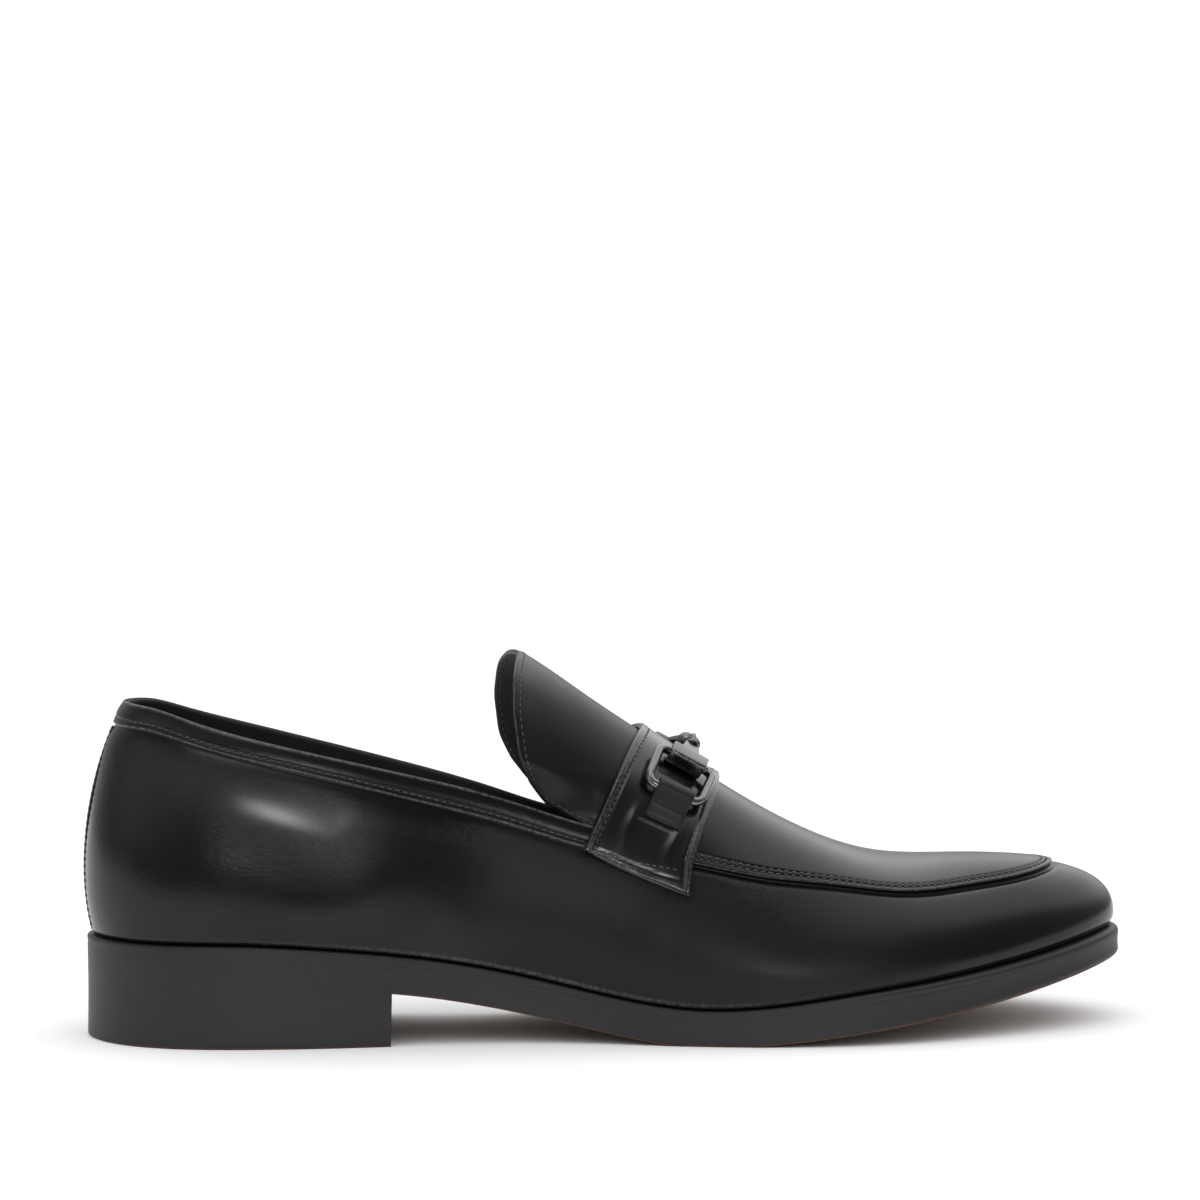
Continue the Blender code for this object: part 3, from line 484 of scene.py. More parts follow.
def piece(name, points, quads, materials, replaces=(), slot=None, zones=None, fields=None):
    """One finished object from arrays of points and quads, welded and turned outwards.

    zones gives each quad its material, and fields are named numbers, one per point, that a
    material reads.
    """
    mesh = bpy.data.meshes.new(name)
    mesh.vertices.add(len(points))
    mesh.vertices.foreach_set("co", (points + TO_ORIGIN).ravel())
    mesh.loops.add(quads.size)
    mesh.loops.foreach_set("vertex_index", quads.ravel().astype(np.int32))
    mesh.polygons.add(len(quads))
    mesh.polygons.foreach_set("loop_start", np.arange(0, quads.size, 4, dtype=np.int32))
    if zones is not None:
        mesh.polygons.foreach_set("material_index", zones.astype(np.int32))
    for field, values in (fields or {}).items():
        mesh.attributes.new(field, "FLOAT", "POINT").data.foreach_set("value", values.ravel())
    mesh.update(calc_edges=True)
    body = bmesh.new()
    body.from_mesh(mesh)
    bmesh.ops.remove_doubles(body, verts=body.verts, dist=WELD)
    bmesh.ops.dissolve_degenerate(body, edges=body.edges, dist=1e-7)
    bmesh.ops.recalc_face_normals(body, faces=body.faces)
    body.to_mesh(mesh)
    body.free()
    mesh.shade_smooth()
    for material in materials:
        mesh.materials.append(material)
    item = bpy.data.objects.new(name, mesh)
    bpy.context.scene.collection.objects.link(item)
    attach(item, "root")
    if replaces:
        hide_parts(*replaces)
    return item


def arc_lengths(points, axis):
    """Distances run along one axis of a grid of points, from 0."""
    step = np.linalg.norm(np.diff(points, axis=axis), axis=-1)
    start = np.zeros_like(np.take(step, [0], axis=axis))
    return np.concatenate([start, np.cumsum(step, axis=axis)], axis=axis)


def edge_distance(points):
    """How far each point of an open grid lies from the grid's nearest edge, along the grid."""
    down = arc_lengths(points, 0)
    over = arc_lengths(points, 1)
    down = np.minimum(down, down[-1:] - down)
    over = np.minimum(over, over[:, -1:] - over)
    return np.minimum(down, over)


def leaf(outer, inner, bulge, lobes):
    """A sheet closed round its border by a rolled edge.

    The edge's profile runs from the outer grid to the inner one, and stands out by bulge times
    the size of a sine with a half wave for each of its lobes, one for each layer of leather.
    """
    rows, columns = outer.shape[:2]
    row = np.concatenate([np.zeros(columns - 1), np.arange(rows - 1),
                          np.full(columns - 1, rows - 1), np.arange(rows - 1, 0, -1)]).astype(int)
    column = np.concatenate([np.arange(columns - 1), np.full(rows - 1, columns - 1),
                             np.arange(columns - 1, 0, -1), np.zeros(rows - 1)]).astype(int)
    in_row = np.clip(row, 1, rows - 2)
    in_column = np.clip(column, 1, columns - 2)
    middle = (outer + inner) / 2
    out = unit(middle[row, column] - middle[in_row, in_column])
    share = np.linspace(0.0, 1.0, 5 * lobes + 1)[:, None, None]
    stand = bulge * np.abs(np.sin(lobes * np.pi * share)) ** 0.7
    rim = (1.0 - share) * outer[row, column] + share * inner[row, column] + stand * out
    skin = grid_quads(rows, columns)
    return together([(outer.reshape(-1, 3), skin), (inner.reshape(-1, 3), skin),
                     (rim.reshape(-1, 3), grid_quads(len(share), len(row), wrap_columns=True))])


def inset_line(grid, edge, inset, start, stop, count):
    """A line on an open grid, a distance in from one of its edges, between shares of its length.

    Each point lies at the share of the cross line that the distance is of that line's length.
    """
    if edge in ("left", "right"):
        grid = grid.transpose(1, 0, 2)
    if edge in ("far", "right"):
        grid = grid[::-1]
    total = np.linalg.norm(np.diff(grid, axis=0), axis=-1).sum(axis=0)
    column = np.linspace(start, stop, count) * (grid.shape[1] - 1)
    low = np.clip(column.astype(int), 0, grid.shape[1] - 2)
    part = (column - low)[:, None]
    row = np.clip(inset / total, 0.0, 0.999) * (grid.shape[0] - 1)
    row_low = np.minimum(row.astype(int), grid.shape[0] - 2)
    row_part = (row - row_low)[:, None]
    index = np.arange(grid.shape[1])
    line = grid[row_low, index] * (1.0 - row_part) + grid[row_low + 1, index] * row_part
    return line[low] * (1.0 - part) + line[low + 1] * part


def stitches(line, out, pitch=STITCH_PITCH, thick=THREAD):
    """Thread lying in a row of stitches along a line on the leather.

    Each stitch is a small round bar over STITCH_FILL of its pitch: its middle stands a little over
    half out of the leather and falls as the square of the way to its ends, where its radius,
    the root of one less that square, comes to nothing.
    """
    run = arc_lengths(line, 0)
    count = max(int(run[-1] / pitch), 1)
    pitch = run[-1] / count
    way = np.sin(np.linspace(-math.pi / 2, math.pi / 2, 7))
    place = (np.arange(count)[:, None] + 0.5 + way * STITCH_FILL / 2) * pitch
    middle = np.stack([np.interp(place, run, line[:, i]) for i in range(3)], axis=-1)
    normal = unit(np.stack([np.interp(place, run, out[:, i]) for i in range(3)], axis=-1))
    along = unit(middle[:, -1] - middle[:, 0])[:, None]
    across = unit(np.cross(along, normal))
    middle = middle + normal * (thick * (0.30 - 0.75 * way**2))[None, :, None]
    angle = np.arange(6) * math.pi / 3
    turned = (across[:, :, None] * np.cos(angle)[:, None]
              + normal[:, :, None] * np.sin(angle)[:, None])
    radius = (thick / 2 * np.sqrt(np.maximum(1.0 - way**2, 0.0)))[None, :, None, None]
    points = (middle[:, :, None] + radius * turned).reshape(-1, 3)
    quads = grid_quads(7, 6, wrap_columns=True)
    quads = (quads[None] + 42 * np.arange(count)[:, None, None]).reshape(-1, 4)
    return points, quads


def border_stitches(grid, out, borders, inset, lift, pitch, thick=THREAD, count=400):
    """Rows of stitches along borders of an open grid. Each border is named with the two shares
    of its length that its row runs between."""
    rows = []
    for border, start, stop in borders:
        line = inset_line(grid, border, inset, start, stop, count)
        way = unit(inset_line(grid + out * 0.01, border, inset, start, stop, count) - line)
        rows.append(stitches(line + way * lift, way, pitch, thick))
    return rows


def stacked(x, y, z):
    """Points from three coordinates of any shapes that fit together."""
    return np.stack(np.broadcast_arrays(x, y, z), axis=-1)


def swept(path, first, second, outline):
    """A bar: each point of an outline is carried along a path by two directions across it."""
    points = (path[:, None] + first[:, None] * outline[None, :, :1]
              + second[:, None] * outline[None, :, 1:])
    return points.reshape(-1, 3), grid_quads(len(path), len(outline), True, True)


def capped(sections):
    """A closed solid through outlines of as many points each, its ends drawn to their middles."""
    ends = [np.repeat(sections[end].mean(axis=0)[None], sections.shape[1], 0) for end in (0, -1)]
    rows = np.concatenate([ends[0][None], sections, ends[1][None]])
    return rows.reshape(-1, 3), grid_quads(len(rows), sections.shape[1], wrap_columns=True)


# Materials
class Value:
    """A number that a material's nodes work out at each point of a surface."""

    def __init__(self, recipe, socket):
        self.recipe = recipe
        self.socket = socket

    def sum(self, operation, first, second):
        """The Math node for one operation."""
        return self.recipe.node("ShaderNodeMath", {"operation": operation}, {0: first, 1: second})

    def __add__(self, other):
        return self.sum("ADD", self, other)

    __radd__ = __add__

    def __sub__(self, other):
        return self.sum("SUBTRACT", self, other)

    def __rsub__(self, other):
        return self.sum("SUBTRACT", other, self)

    def __mul__(self, other):
        return self.sum("MULTIPLY", self, other)

    __rmul__ = __mul__

    def __pow__(self, other):
        return self.sum("POWER", self, other)

    def above(self, edge):
        """1 where the value is greater than an edge."""
        return self.sum("GREATER_THAN", self, edge)

    def held(self):
        """The value kept between 0 and 1."""
        return self.sum("MINIMUM", self.sum("MAXIMUM", self, 0.0), 1.0)


class Nodes:
    """The nodes of one material or of the world."""

    def __init__(self, owner):
        owner.use_nodes = True
        self.tree = owner.node_tree

    def node(self, kind, settings=None, inputs=None, output=0):
        """Adds a node, sets it, fills its sockets with values or links and gives one output."""
        made = self.tree.nodes.new(kind)
        for key, value in (settings or {}).items():
            setattr(made, key, value)
        for key, value in (inputs or {}).items():
            if isinstance(value, Value):
                self.tree.links.new(value.socket, made.inputs[key])
            else:
                made.inputs[key].default_value = value
        return Value(self, made.outputs[output] if made.outputs else None)


class Recipe(Nodes):
    """One material's nodes, round its Principled shader."""

    def __init__(self, name, **constants):
        self.material = bpy.data.materials.new(name)
        super().__init__(self.material)
        self.shader = self.tree.nodes["Principled BSDF"]
        for socket, value in constants.items():
            self.shader.inputs[socket.replace("_", " ")].default_value = value
        self.place = self.node("ShaderNodeTexCoord", output="Object")

    def feed(self, socket, value):
        """Links a value to one of the shader's sockets."""
        self.tree.links.new(value.socket, self.shader.inputs[socket])

    def field(self, name):
        """A number kept on the mesh's points."""
        return self.node("ShaderNodeAttribute", {"attribute_name": name}, output="Fac")

    def stretched(self, scale, turn=(0.0, 0.0, 0.0)):
        """Object coordinates, turned and then scaled along each way."""
        turned = self.node("ShaderNodeMapping", {"vector_type": "TEXTURE"},
                           {"Vector": self.place, "Rotation": turn})
        return self.node("ShaderNodeMapping", {"vector_type": "POINT"},
                         {"Vector": turned, "Scale": scale})

    def noise(self, scale, detail=2.0, roughness=0.5, vector=None):
        """Cloudy noise from 0 to 1, as many cells to the metre as its scale."""
        return self.node("ShaderNodeTexNoise", None,
                         {"Vector": vector or self.place, "Scale": scale, "Detail": detail,
                          "Roughness": roughness})

    def cells(self, scale, feature="F1"):
        """Distance to the middle of the cell that a point lies in."""
        return self.node("ShaderNodeTexVoronoi", {"feature": feature},
                         {"Vector": self.place, "Scale": scale}, "Distance")

    def between(self, low, high, share):
        """A colour mixed from two by a share."""
        return self.node("ShaderNodeMix", {"data_type": "RGBA"},
                         {0: share, 6: (*low, 1.0) if isinstance(low, tuple) else low,
                          7: (*high, 1.0) if isinstance(high, tuple) else high}, 2)

    def bump(self, height, distance, normal=None):
        """A normal turned by a height of so many metres."""
        inputs = {"Height": height, "Distance": distance, "Strength": 1.0}
        if normal is not None:
            inputs["Normal"] = normal
        return self.node("ShaderNodeBump", None, inputs)

    def finish(self, colour, roughness, normal):
        """Feeds the colour, the roughness and the normal, and gives the material."""
        self.feed("Base Color", colour)
        self.feed("Normal", normal)
        self.feed("Roughness", roughness.held())
        return self.material


def calf(name, dark, light, rough, grain=1.0, coat=0.30, gloss=0.37, marked=False):
    """Polished black calf.

    The grain is small cells with finer noise over them, the polish wanders over broad clouds,
    and where the mesh's edge field is set the base colour is lightened in dashes, a painted
    highlight. coat is the weight of the polish and gloss the leather's own. Where the mesh is
    marked, fine lines gather in the two ways that the leather gives, polished patches have more
    polish and a base colour lightened as a painted highlight, and satin ones less polish.
    """
    recipe = Recipe(name, Coat_Roughness=0.16, Specular_IOR_Level=gloss)
    cloud = recipe.noise(38.0, 3.0, 0.55)
    fleck = recipe.noise(900.0, 2.0, 0.6)
    colour = recipe.between(dark, light, (cloud * 0.8 + fleck * 0.2).held())
    # Painted highlight: paler base colour in dashes where the edge field is set, on folded edges,
    # rolls and rims.
    painted_edge_highlight = recipe.field("edge") * (fleck * 3.2 - 0.9)
    colour = recipe.between(colour, (0.110, 0.108, 0.110), painted_edge_highlight.held())
    pores = recipe.cells(1500.0)
    skin = recipe.noise(2600.0, 3.0, 0.6)
    height = pores * 0.55 + skin * 0.45
    roughness = rough + (cloud - 0.5) * 0.14 + (skin - 0.5) * 0.08
    polish = coat + (cloud - 0.5) * -0.25
    normal = recipe.bump(height, 0.000022 * grain)
    if marked:
        quarter = recipe.field("quarter_lines")
        vamp = recipe.field("vamp_lines")
        lines = recipe.noise(1.0, 4.0, 0.70, recipe.stretched((320.0, 320.0, 900.0),
                                                              (0.0, math.radians(28.0), 0.0)))
        folds = recipe.noise(1.0, 3.0, 0.6, recipe.stretched((1100.0, 260.0, 240.0),
                                                             (0.0, math.radians(-8.0), 0.0)))
        polish_and_sheen_patch = recipe.field("polish_and_sheen")
        satin = recipe.field("satin")
        creases = lines * (quarter * 0.5 + polish_and_sheen_patch * 0.8) + folds * vamp
        normal = recipe.bump(creases, 0.00045, normal)
        roughness = roughness + satin * 0.17
        polish = polish + polish_and_sheen_patch * 1.1 - satin * 0.10
        # Painted highlight: the polished patches' base colour is lightened, more along the fine
        # lines.
        painted_sheen = (polish_and_sheen_patch * (0.15 + lines * 0.6)).held()
        colour = recipe.between(colour, (0.050, 0.050, 0.053), painted_sheen)
    recipe.feed("Coat Weight", polish.held())
    return recipe.finish(colour, roughness, normal)


def lining():
    """Dark lining leather: matt, with a soft open grain and a faint brown cast."""
    recipe = Recipe("lining_leather", Specular_IOR_Level=0.30)
    cloud = recipe.noise(60.0, 3.0, 0.6)
    grain = recipe.noise(1700.0, 4.0, 0.7)
    colour = recipe.between((0.010, 0.009, 0.009), (0.030, 0.026, 0.024),
                            (cloud * 0.7 + grain * 0.3).held())
    return recipe.finish(colour, 0.50 + grain * 0.25, recipe.bump(grain, 0.00008))


def moulded_rubber():
    """The sole's side: satin black rubber with a fine moulded tooth and a few pale specks."""
    recipe = Recipe("black_sole_rubber", Specular_IOR_Level=0.40)
    cloud = recipe.noise(45.0, 4.0, 0.6)
    tooth = recipe.noise(3200.0, 3.0, 0.65)
    drag = recipe.noise(1.0, 3.0, 0.6, recipe.stretched((60.0, 60.0, 1400.0)))
    speck = (0.00030 + recipe.cells(70.0) * -0.0142).above(0.0)
    dark = recipe.between((0.010, 0.010, 0.011), (0.017, 0.017, 0.019), cloud)
    colour = recipe.between(dark, (0.22, 0.20, 0.17), speck)
    return recipe.finish(colour, 0.36 + cloud * 0.14 + tooth * 0.08,
                         recipe.bump(tooth * 0.6 + drag * 0.4, 0.00006))


def tread_rubber():
    """The underside: red-brown rubber with a pebbled face, darker where it has been handled."""
    recipe = Recipe("brown_tread_rubber", Specular_IOR_Level=0.35)
    cloud = recipe.noise(30.0, 4.0, 0.6)
    pebble = recipe.cells(520.0, feature="SMOOTH_F1")
    colour = recipe.between((0.060, 0.026, 0.016), (0.125, 0.058, 0.036), cloud)
    return recipe.finish(colour, 0.52 + cloud * 0.2, recipe.bump(pebble, 0.00025))


def thread():
    """Waxed black thread, two plies turned round each other."""
    recipe = Recipe("waxed_thread", Specular_IOR_Level=0.55)
    cloud = recipe.noise(160.0, 2.0)
    ply = recipe.noise(5200.0, 2.0, 0.7)
    colour = recipe.between((0.022, 0.022, 0.023), (0.110, 0.107, 0.104), cloud)
    return recipe.finish(colour, 0.34 + ply * 0.2, recipe.bump(ply, 0.00006))


def gunmetal(name, rough, tint):
    """Dark plated metal, polished by hand: faint lines, and brighter plating where it is worn."""
    recipe = Recipe(name, Metallic=1.0)
    cloud = recipe.noise(260.0, 3.0, 0.6)
    line = recipe.noise(1.0, 2.0, 0.6, recipe.stretched((2600.0, 500.0, 2600.0)))
    colour = recipe.between(tuple(0.70 * c for c in tint), tint, cloud)
    return recipe.finish(colour, rough + cloud * 0.10 + line * 0.05, recipe.bump(line, 0.00002))


CALF = calf("polished_calf", (0.0024, 0.0022, 0.0030), (0.0044, 0.0041, 0.0052), 0.24,
            coat=0.08, gloss=0.29, marked=True)
TONGUE_CALF = calf("tongue_calf", (0.0034, 0.0032, 0.0036), (0.0058, 0.0055, 0.0060), 0.40,
                   coat=0.08, gloss=0.27)
STRAP_CALF = calf("strap_calf", (0.0022, 0.0021, 0.0025), (0.0042, 0.0040, 0.0045), 0.20,
                  grain=0.6, coat=0.5)
TAB_CALF = calf("tab_calf", (0.0050, 0.0048, 0.0052), (0.0086, 0.0083, 0.0090), 0.48, coat=0.02)
LINING = lining()
SOLE_RUBBER = moulded_rubber()
TREAD = tread_rubber()
THREAD_BLACK = thread()
RING_METAL = gunmetal("gunmetal_ring", 0.15, (0.240, 0.240, 0.250))
BAR_METAL = gunmetal("gunmetal_bar", 0.20, (0.210, 0.210, 0.220))


# The upper
def apron_part(ring):
    """0 beside the collar and 1 beside the apron, by a smooth step past the collar's end."""
    return smooth_step((np.abs(ring) - LAST.collar_end) / 0.03)


def fold_stand(apron):
    """How far the folded edge stands out of the form, from the collar's to the apron's."""
    return HEEL_FOLD + (RELIEF - HEEL_FOLD) * apron


def off_line(points, side, x0, z0, x1, z1):
    """How far points lie from a line on one side of the shoe, and how far along it they are."""
    x = points[..., 0]
    z = points[..., 2]
    start = np.array([x0 * SHOE_LENGTH, z0 * BACK_HEIGHT])
    run = np.array([x1 * SHOE_LENGTH, z1 * BACK_HEIGHT]) - start
    share = ((x - start[0]) * run[0] + (z - start[1]) * run[1]) / (run @ run)
    held = np.clip(share, 0.0, 1.0)
    off = np.hypot(x - start[0] - held * run[0], z - start[1] - held * run[1])
    return np.where(np.sign(points[..., 1]) == side, off, 1.0), share


def fold_relief(points):
    """The leather's soft ridges and troughs: each is a bell across its line that dies away
    past the line's two ends, and broad slow waves keep the wall from looking machined."""
    x = points[..., 0]
    z = points[..., 2]
    relief = 0.00012 * np.sin(x / 0.0093 + 2.0 * np.sin(z / 0.013))
    relief += 0.00010 * np.sin(z / 0.0071 + x / 0.019 + 1.0)
    for side, x0, z0, x1, z1, width, height in FOLDS:
        off, share = off_line(points, side, x0, z0, x1, z1)
        fade = np.sin(np.pi * np.clip(0.15 + 0.7 * share, 0.0, 1.0)) ** 0.6
        relief += height * bell(off, width) * fade
    return relief


def upper_fields(points, ring, folded, topline):
    """The upper's named numbers: where its lines, polish, painted highlights and satin are.

    Each patch is a bell across and along the shoe, or about a line of SHINE. The painted edge
    highlight lies on rows of the foot, of the folded edge from row folded on, and of the rolled
    topline from row topline on. The satin lies between two smooth steps along the vamp, below the
    fold.
    """
    x = points[..., 0]
    z = points[..., 2]
    lines = bell(x - 0.150 * SHOE_LENGTH, 0.030) * bell(z - 0.70 * BACK_HEIGHT, 0.018)
    lines = lines + 0.6 * bell(x - 0.36 * SHOE_LENGTH, 0.026) * bell(z - 0.60 * BACK_HEIGHT, 0.010)
    flex = bell(x - 0.617 * SHOE_LENGTH, 0.012) * bell(z - 0.43 * BACK_HEIGHT, 0.011)
    # The polished patches: more coat, and a paler base colour as a painted highlight.
    polish_and_sheen = np.zeros(x.shape)
    for side, x0, z0, x1, z1, width in SHINE:
        off, share = off_line(points, side, x0, z0, x1, z1)
        polish_and_sheen = polish_and_sheen + bell(off, width) * (0.35 + 0.65 * np.clip(share, 0.0, 1.0))
    open_here = np.abs(ring) < LAST.throat - 1e-9
    # Painted highlight: paler base colour along the foot, the folded edge and the rolled topline.
    painted_edge_highlight = np.zeros(x.shape)
    painted_edge_highlight[2:4] = 0.5 * bell(np.abs(ring) - 0.42, 0.20)
    on_fold = 1.0 - 0.6 * apron_part(ring)
    for start, values, shown in ((folded + 3, (0.35, 0.9, 0.9, 0.35), on_fold),
                                 (topline, (0.5, 0.9, 0.5), open_here),
                                 (topline + 7, (0.4, 0.8, 0.4), open_here)):
        painted_edge_highlight[start:start + len(values)] = np.array(values)[:, None] * shown
    along = x / SHOE_LENGTH
    satin = smooth_step((along - 0.32) / 0.10) * (1.0 - smooth_step((along - 0.74) / 0.12))
    satin[folded:] = 0.0
    return {"quarter_lines": lines, "vamp_lines": flex, "polish_and_sheen": polish_and_sheen, "edge": painted_edge_highlight, "satin": satin}


def upper():
    """The whole upper as one wall.

    Its rows are wall shares: up the wall to the seam, round the folded edge as part of a
    circle, over the band and the apron, round the rolled topline as half a circle and down the
    lining. Heights above the form add the groove under the fold, the two channels that the
    stitches pull down, the padding between them and the listed folds.
    """
    ring = ring_positions(118, 30, 136)
    seam = LAST.marks(ring)[:, 0]
    top = np.maximum(LAST.top_share(ring), seam + 0.012)
    open_here = np.abs(ring) < LAST.throat - 1e-9
    pace_seam = np.linalg.norm(LAST.up(ring, seam), axis=-1)
    pace_foot = np.linalg.norm(LAST.up(ring, np.full(len(ring), 0.01)), axis=-1)
    pace_top = np.linalg.norm(LAST.up(ring, top), axis=-1)
    apron = apron_part(ring)
    rows = []
    relief = []

    # Up the wall
    near_foot = np.array([0.0, 0.0004, 0.0009, 0.0015, 0.0022, 0.0032, 0.0045])
    near_seam = np.array([0.0070, 0.0052, 0.0038, 0.0028, 0.0020, 0.0014, 0.0009, 0.0005, 0.0002])
    low = near_foot[:, None] / pace_foot
    high = seam - near_seam[:, None] / pace_seam
    way = np.linspace(0.0, 1.0, 44)[1:-1, None]
    wall = np.concatenate([low, low[-1] + (high[0] - low[-1]) * way, high])
    from_foot = wall * pace_foot
    from_seam = (seam - wall) * pace_seam
    fade = smooth_step(from_foot / 0.010) * smooth_step(from_seam / 0.006)
    height = fold_relief(LAST.point(ring, wall)) * fade
    deep = GROOVE * (0.45 + 0.55 * apron)
    toe = smooth_step((np.abs(ring) - 0.55) / 0.35)
    height = height - deep * bell(from_seam, GROOVE_WIDTH)
    height = height - (0.0003 + 0.0005 * toe) * bell(from_foot, 0.0006 + 0.0010 * toe)
    rows.append(wall)
    relief.append(height)

    # Round the folded edge
    angle = np.radians([-80.0, -50.0, -20.0, 10.0, 40.0, 65.0, 90.0])[:, None]
    fold = seam + (LIP - LIP * np.cos(angle)) / pace_seam
    stand = fold_stand(apron)
    rows.append(fold)
    relief.append(stand - LIP + LIP * np.sin(angle))

    # Over the band and the apron, as far as the roll of the topline
    steps = np.array([0.0007, 0.0010, 0.0013, 0.0015, 0.0017, 0.0019, 0.0021, 0.0024, 0.0027,
                      0.0029, 0.0031, 0.0033, 0.0035, 0.0038, 0.0043, 0.0050])
    roll = np.where(open_here, TOP_ROLL * (1.0 - apron), 0.0)
    end = top - roll / pace_top
    shown = steps[:, None] / pace_seam
    room = np.maximum(end - seam, 0.004)
    shown = np.minimum(shown, room * 0.86 * steps[:, None] / steps[-1])
    band = seam + shown
    way = np.linspace(0.0, 1.0, 31)[1:, None]
    over = np.concatenate([band, band[-1] + (end - band[-1]) * way])
    from_seam = (over - seam) * pace_seam
    padding = COLLAR_PADDING * np.sin(np.pi * np.clip((from_seam - ROW_ONE) / 0.0045, 0.0, 1.0))
    height = stand - CHANNEL_ONE * bell(from_seam - ROW_ONE, CHANNEL_WIDTH)
    height = height - CHANNEL_TWO * bell(from_seam - ROW_TWO, CHANNEL_WIDTH) * apron
    between = from_seam - (ROW_ONE + ROW_TWO) / 2
    height = height + APRON_PADDING * bell(between, 0.00040) * apron
    height = height + padding * (1.0 - apron)
    fade = smooth_step((from_seam - 0.005) / 0.01) * apron * smooth_step((1.0 - over) / 0.1)
    height = height + fold_relief(LAST.point(ring, over)) * 0.5 * fade
    rows.append(over)
    relief.append(height)

    outer = LAST.raised(ring, np.concatenate(rows), np.concatenate(relief))

    # Round the topline, and down the lining
    angle = np.linspace(0.0, math.pi, 19)[1:-1, None, None]
    half = ((stand + WALL) / 2)[:, None]
    edge = LAST.point(ring, end)
    out = LAST.normal(ring, end)
    up = unit(LAST.up(ring, end))
    tall = np.sin(angle) ** 0.6 - 0.55 * bell(angle - 1.45, 0.17) - 0.10 * smooth_step(angle - 1.9)
    cap = edge + out * (half - WALL + half * np.cos(angle)) + up * (roll[:, None] * tall)
    way = np.linspace(1.0, 0.0, 34)[:, None]
    inner_share = end * way
    below = (end - inner_share) * pace_top
    depth = WALL + 0.00018 * smooth_step((below - 0.011) / 0.0006) * open_here
    inner = LAST.raised(ring, inner_share, -depth)
    inner[-1, :, 2] = outer[0, :, 2]

    points = np.concatenate([outer, cap, inner])
    count = len(ring)
    quads = grid_quads(len(points), count, wrap_rows=True, wrap_columns=True)
    row = quads[:, 0] // count
    column = quads[:, 0] % count
    shut = ~(open_here[column] | open_here[(column + 1) % count])
    keep = ~(shut & (row >= len(outer) - 1) & (row < len(outer) + len(cap)))
    zones = ((row >= len(outer) + 4) & (row < len(points) - 1)).astype(int)
    fields = upper_fields(points, ring, len(wall), len(outer))
    return piece("upper_leather_wall", points.reshape(-1, 3), quads[keep], (CALF, LINING),
                 replaces=("upper",), slot="upper_leather", zones=zones[keep], fields=fields)


def seam_line(distance, start, stop, count=1600):
    """A line on the leather above the folded seam, and its outward directions."""
    ring = np.linspace(start, stop, count)
    seam = LAST.marks(ring)[:, 0]
    share = seam + distance / np.linalg.norm(LAST.up(ring, seam), axis=-1)
    height = fold_stand(apron_part(ring)) - 0.00016
    return LAST.raised(ring, share, height), LAST.normal(ring, share)


def upper_stitches():
    """The rows of thread along the seam: one round the collar, two round the apron."""
    rows = [stitches(*seam_line(ROW_ONE, -0.9995, 0.9995, 3200)),
            stitches(*seam_line(ROW_TWO, -1.0, -LAST.collar_end)),
            stitches(*seam_line(ROW_TWO, LAST.collar_end, 1.0))]
    points, quads = together(rows)
    return piece("seam_stitches", points, quads, (THREAD_BLACK,))


def back_seam():
    """The join down the heel's back: a narrow raised strip with thread over each of its edges.

    The strip's height is a power of a half cosine across its width, and it follows the wall
    curve of the heel's back from the sole to the folded seam.
    """
    seam = LAST.marks(np.array([0.0]))[0, 0]
    share = np.linspace(0.02, 1.0, 90)[:, None] * seam * 0.985
    aside = np.linspace(-1.0, 1.0, 13)[None, :]
    ring = aside * SEAM_STRIP / RING_RUN
    outer = LAST.raised(ring, share, -0.00025 + 0.00060 * np.cos(aside * math.pi / 2) ** 0.6)
    inner = LAST.raised(ring, share, -0.0006)
    piece("back_seam_strip", *leaf(outer, inner, 0.00005, 1), (CALF,))
    threads = []
    fine = np.linspace(0.03, 0.975, 700) * seam
    for way in (-1.0, 1.0):
        side = np.full(len(fine), way * 0.62 * SEAM_STRIP / RING_RUN)
        line = LAST.raised(side, fine, 0.00014)
        threads.append(stitches(line, LAST.normal(side, fine), FINE_PITCH))
    return piece("back_seam_stitches", *together(threads), (THREAD_BLACK,))


# The sole
def mirror_middle(points):
    """The point halfway between each ring column and its opposite on the other side."""
    count = points.shape[0]
    opposite = (-np.arange(count)) % count
    return (points + points[opposite]) / 2


def inward(row, share):
    """Rows that lead from a ring of points to the line between its two sides."""
    return row * (1.0 - share) + mirror_middle(row) * share


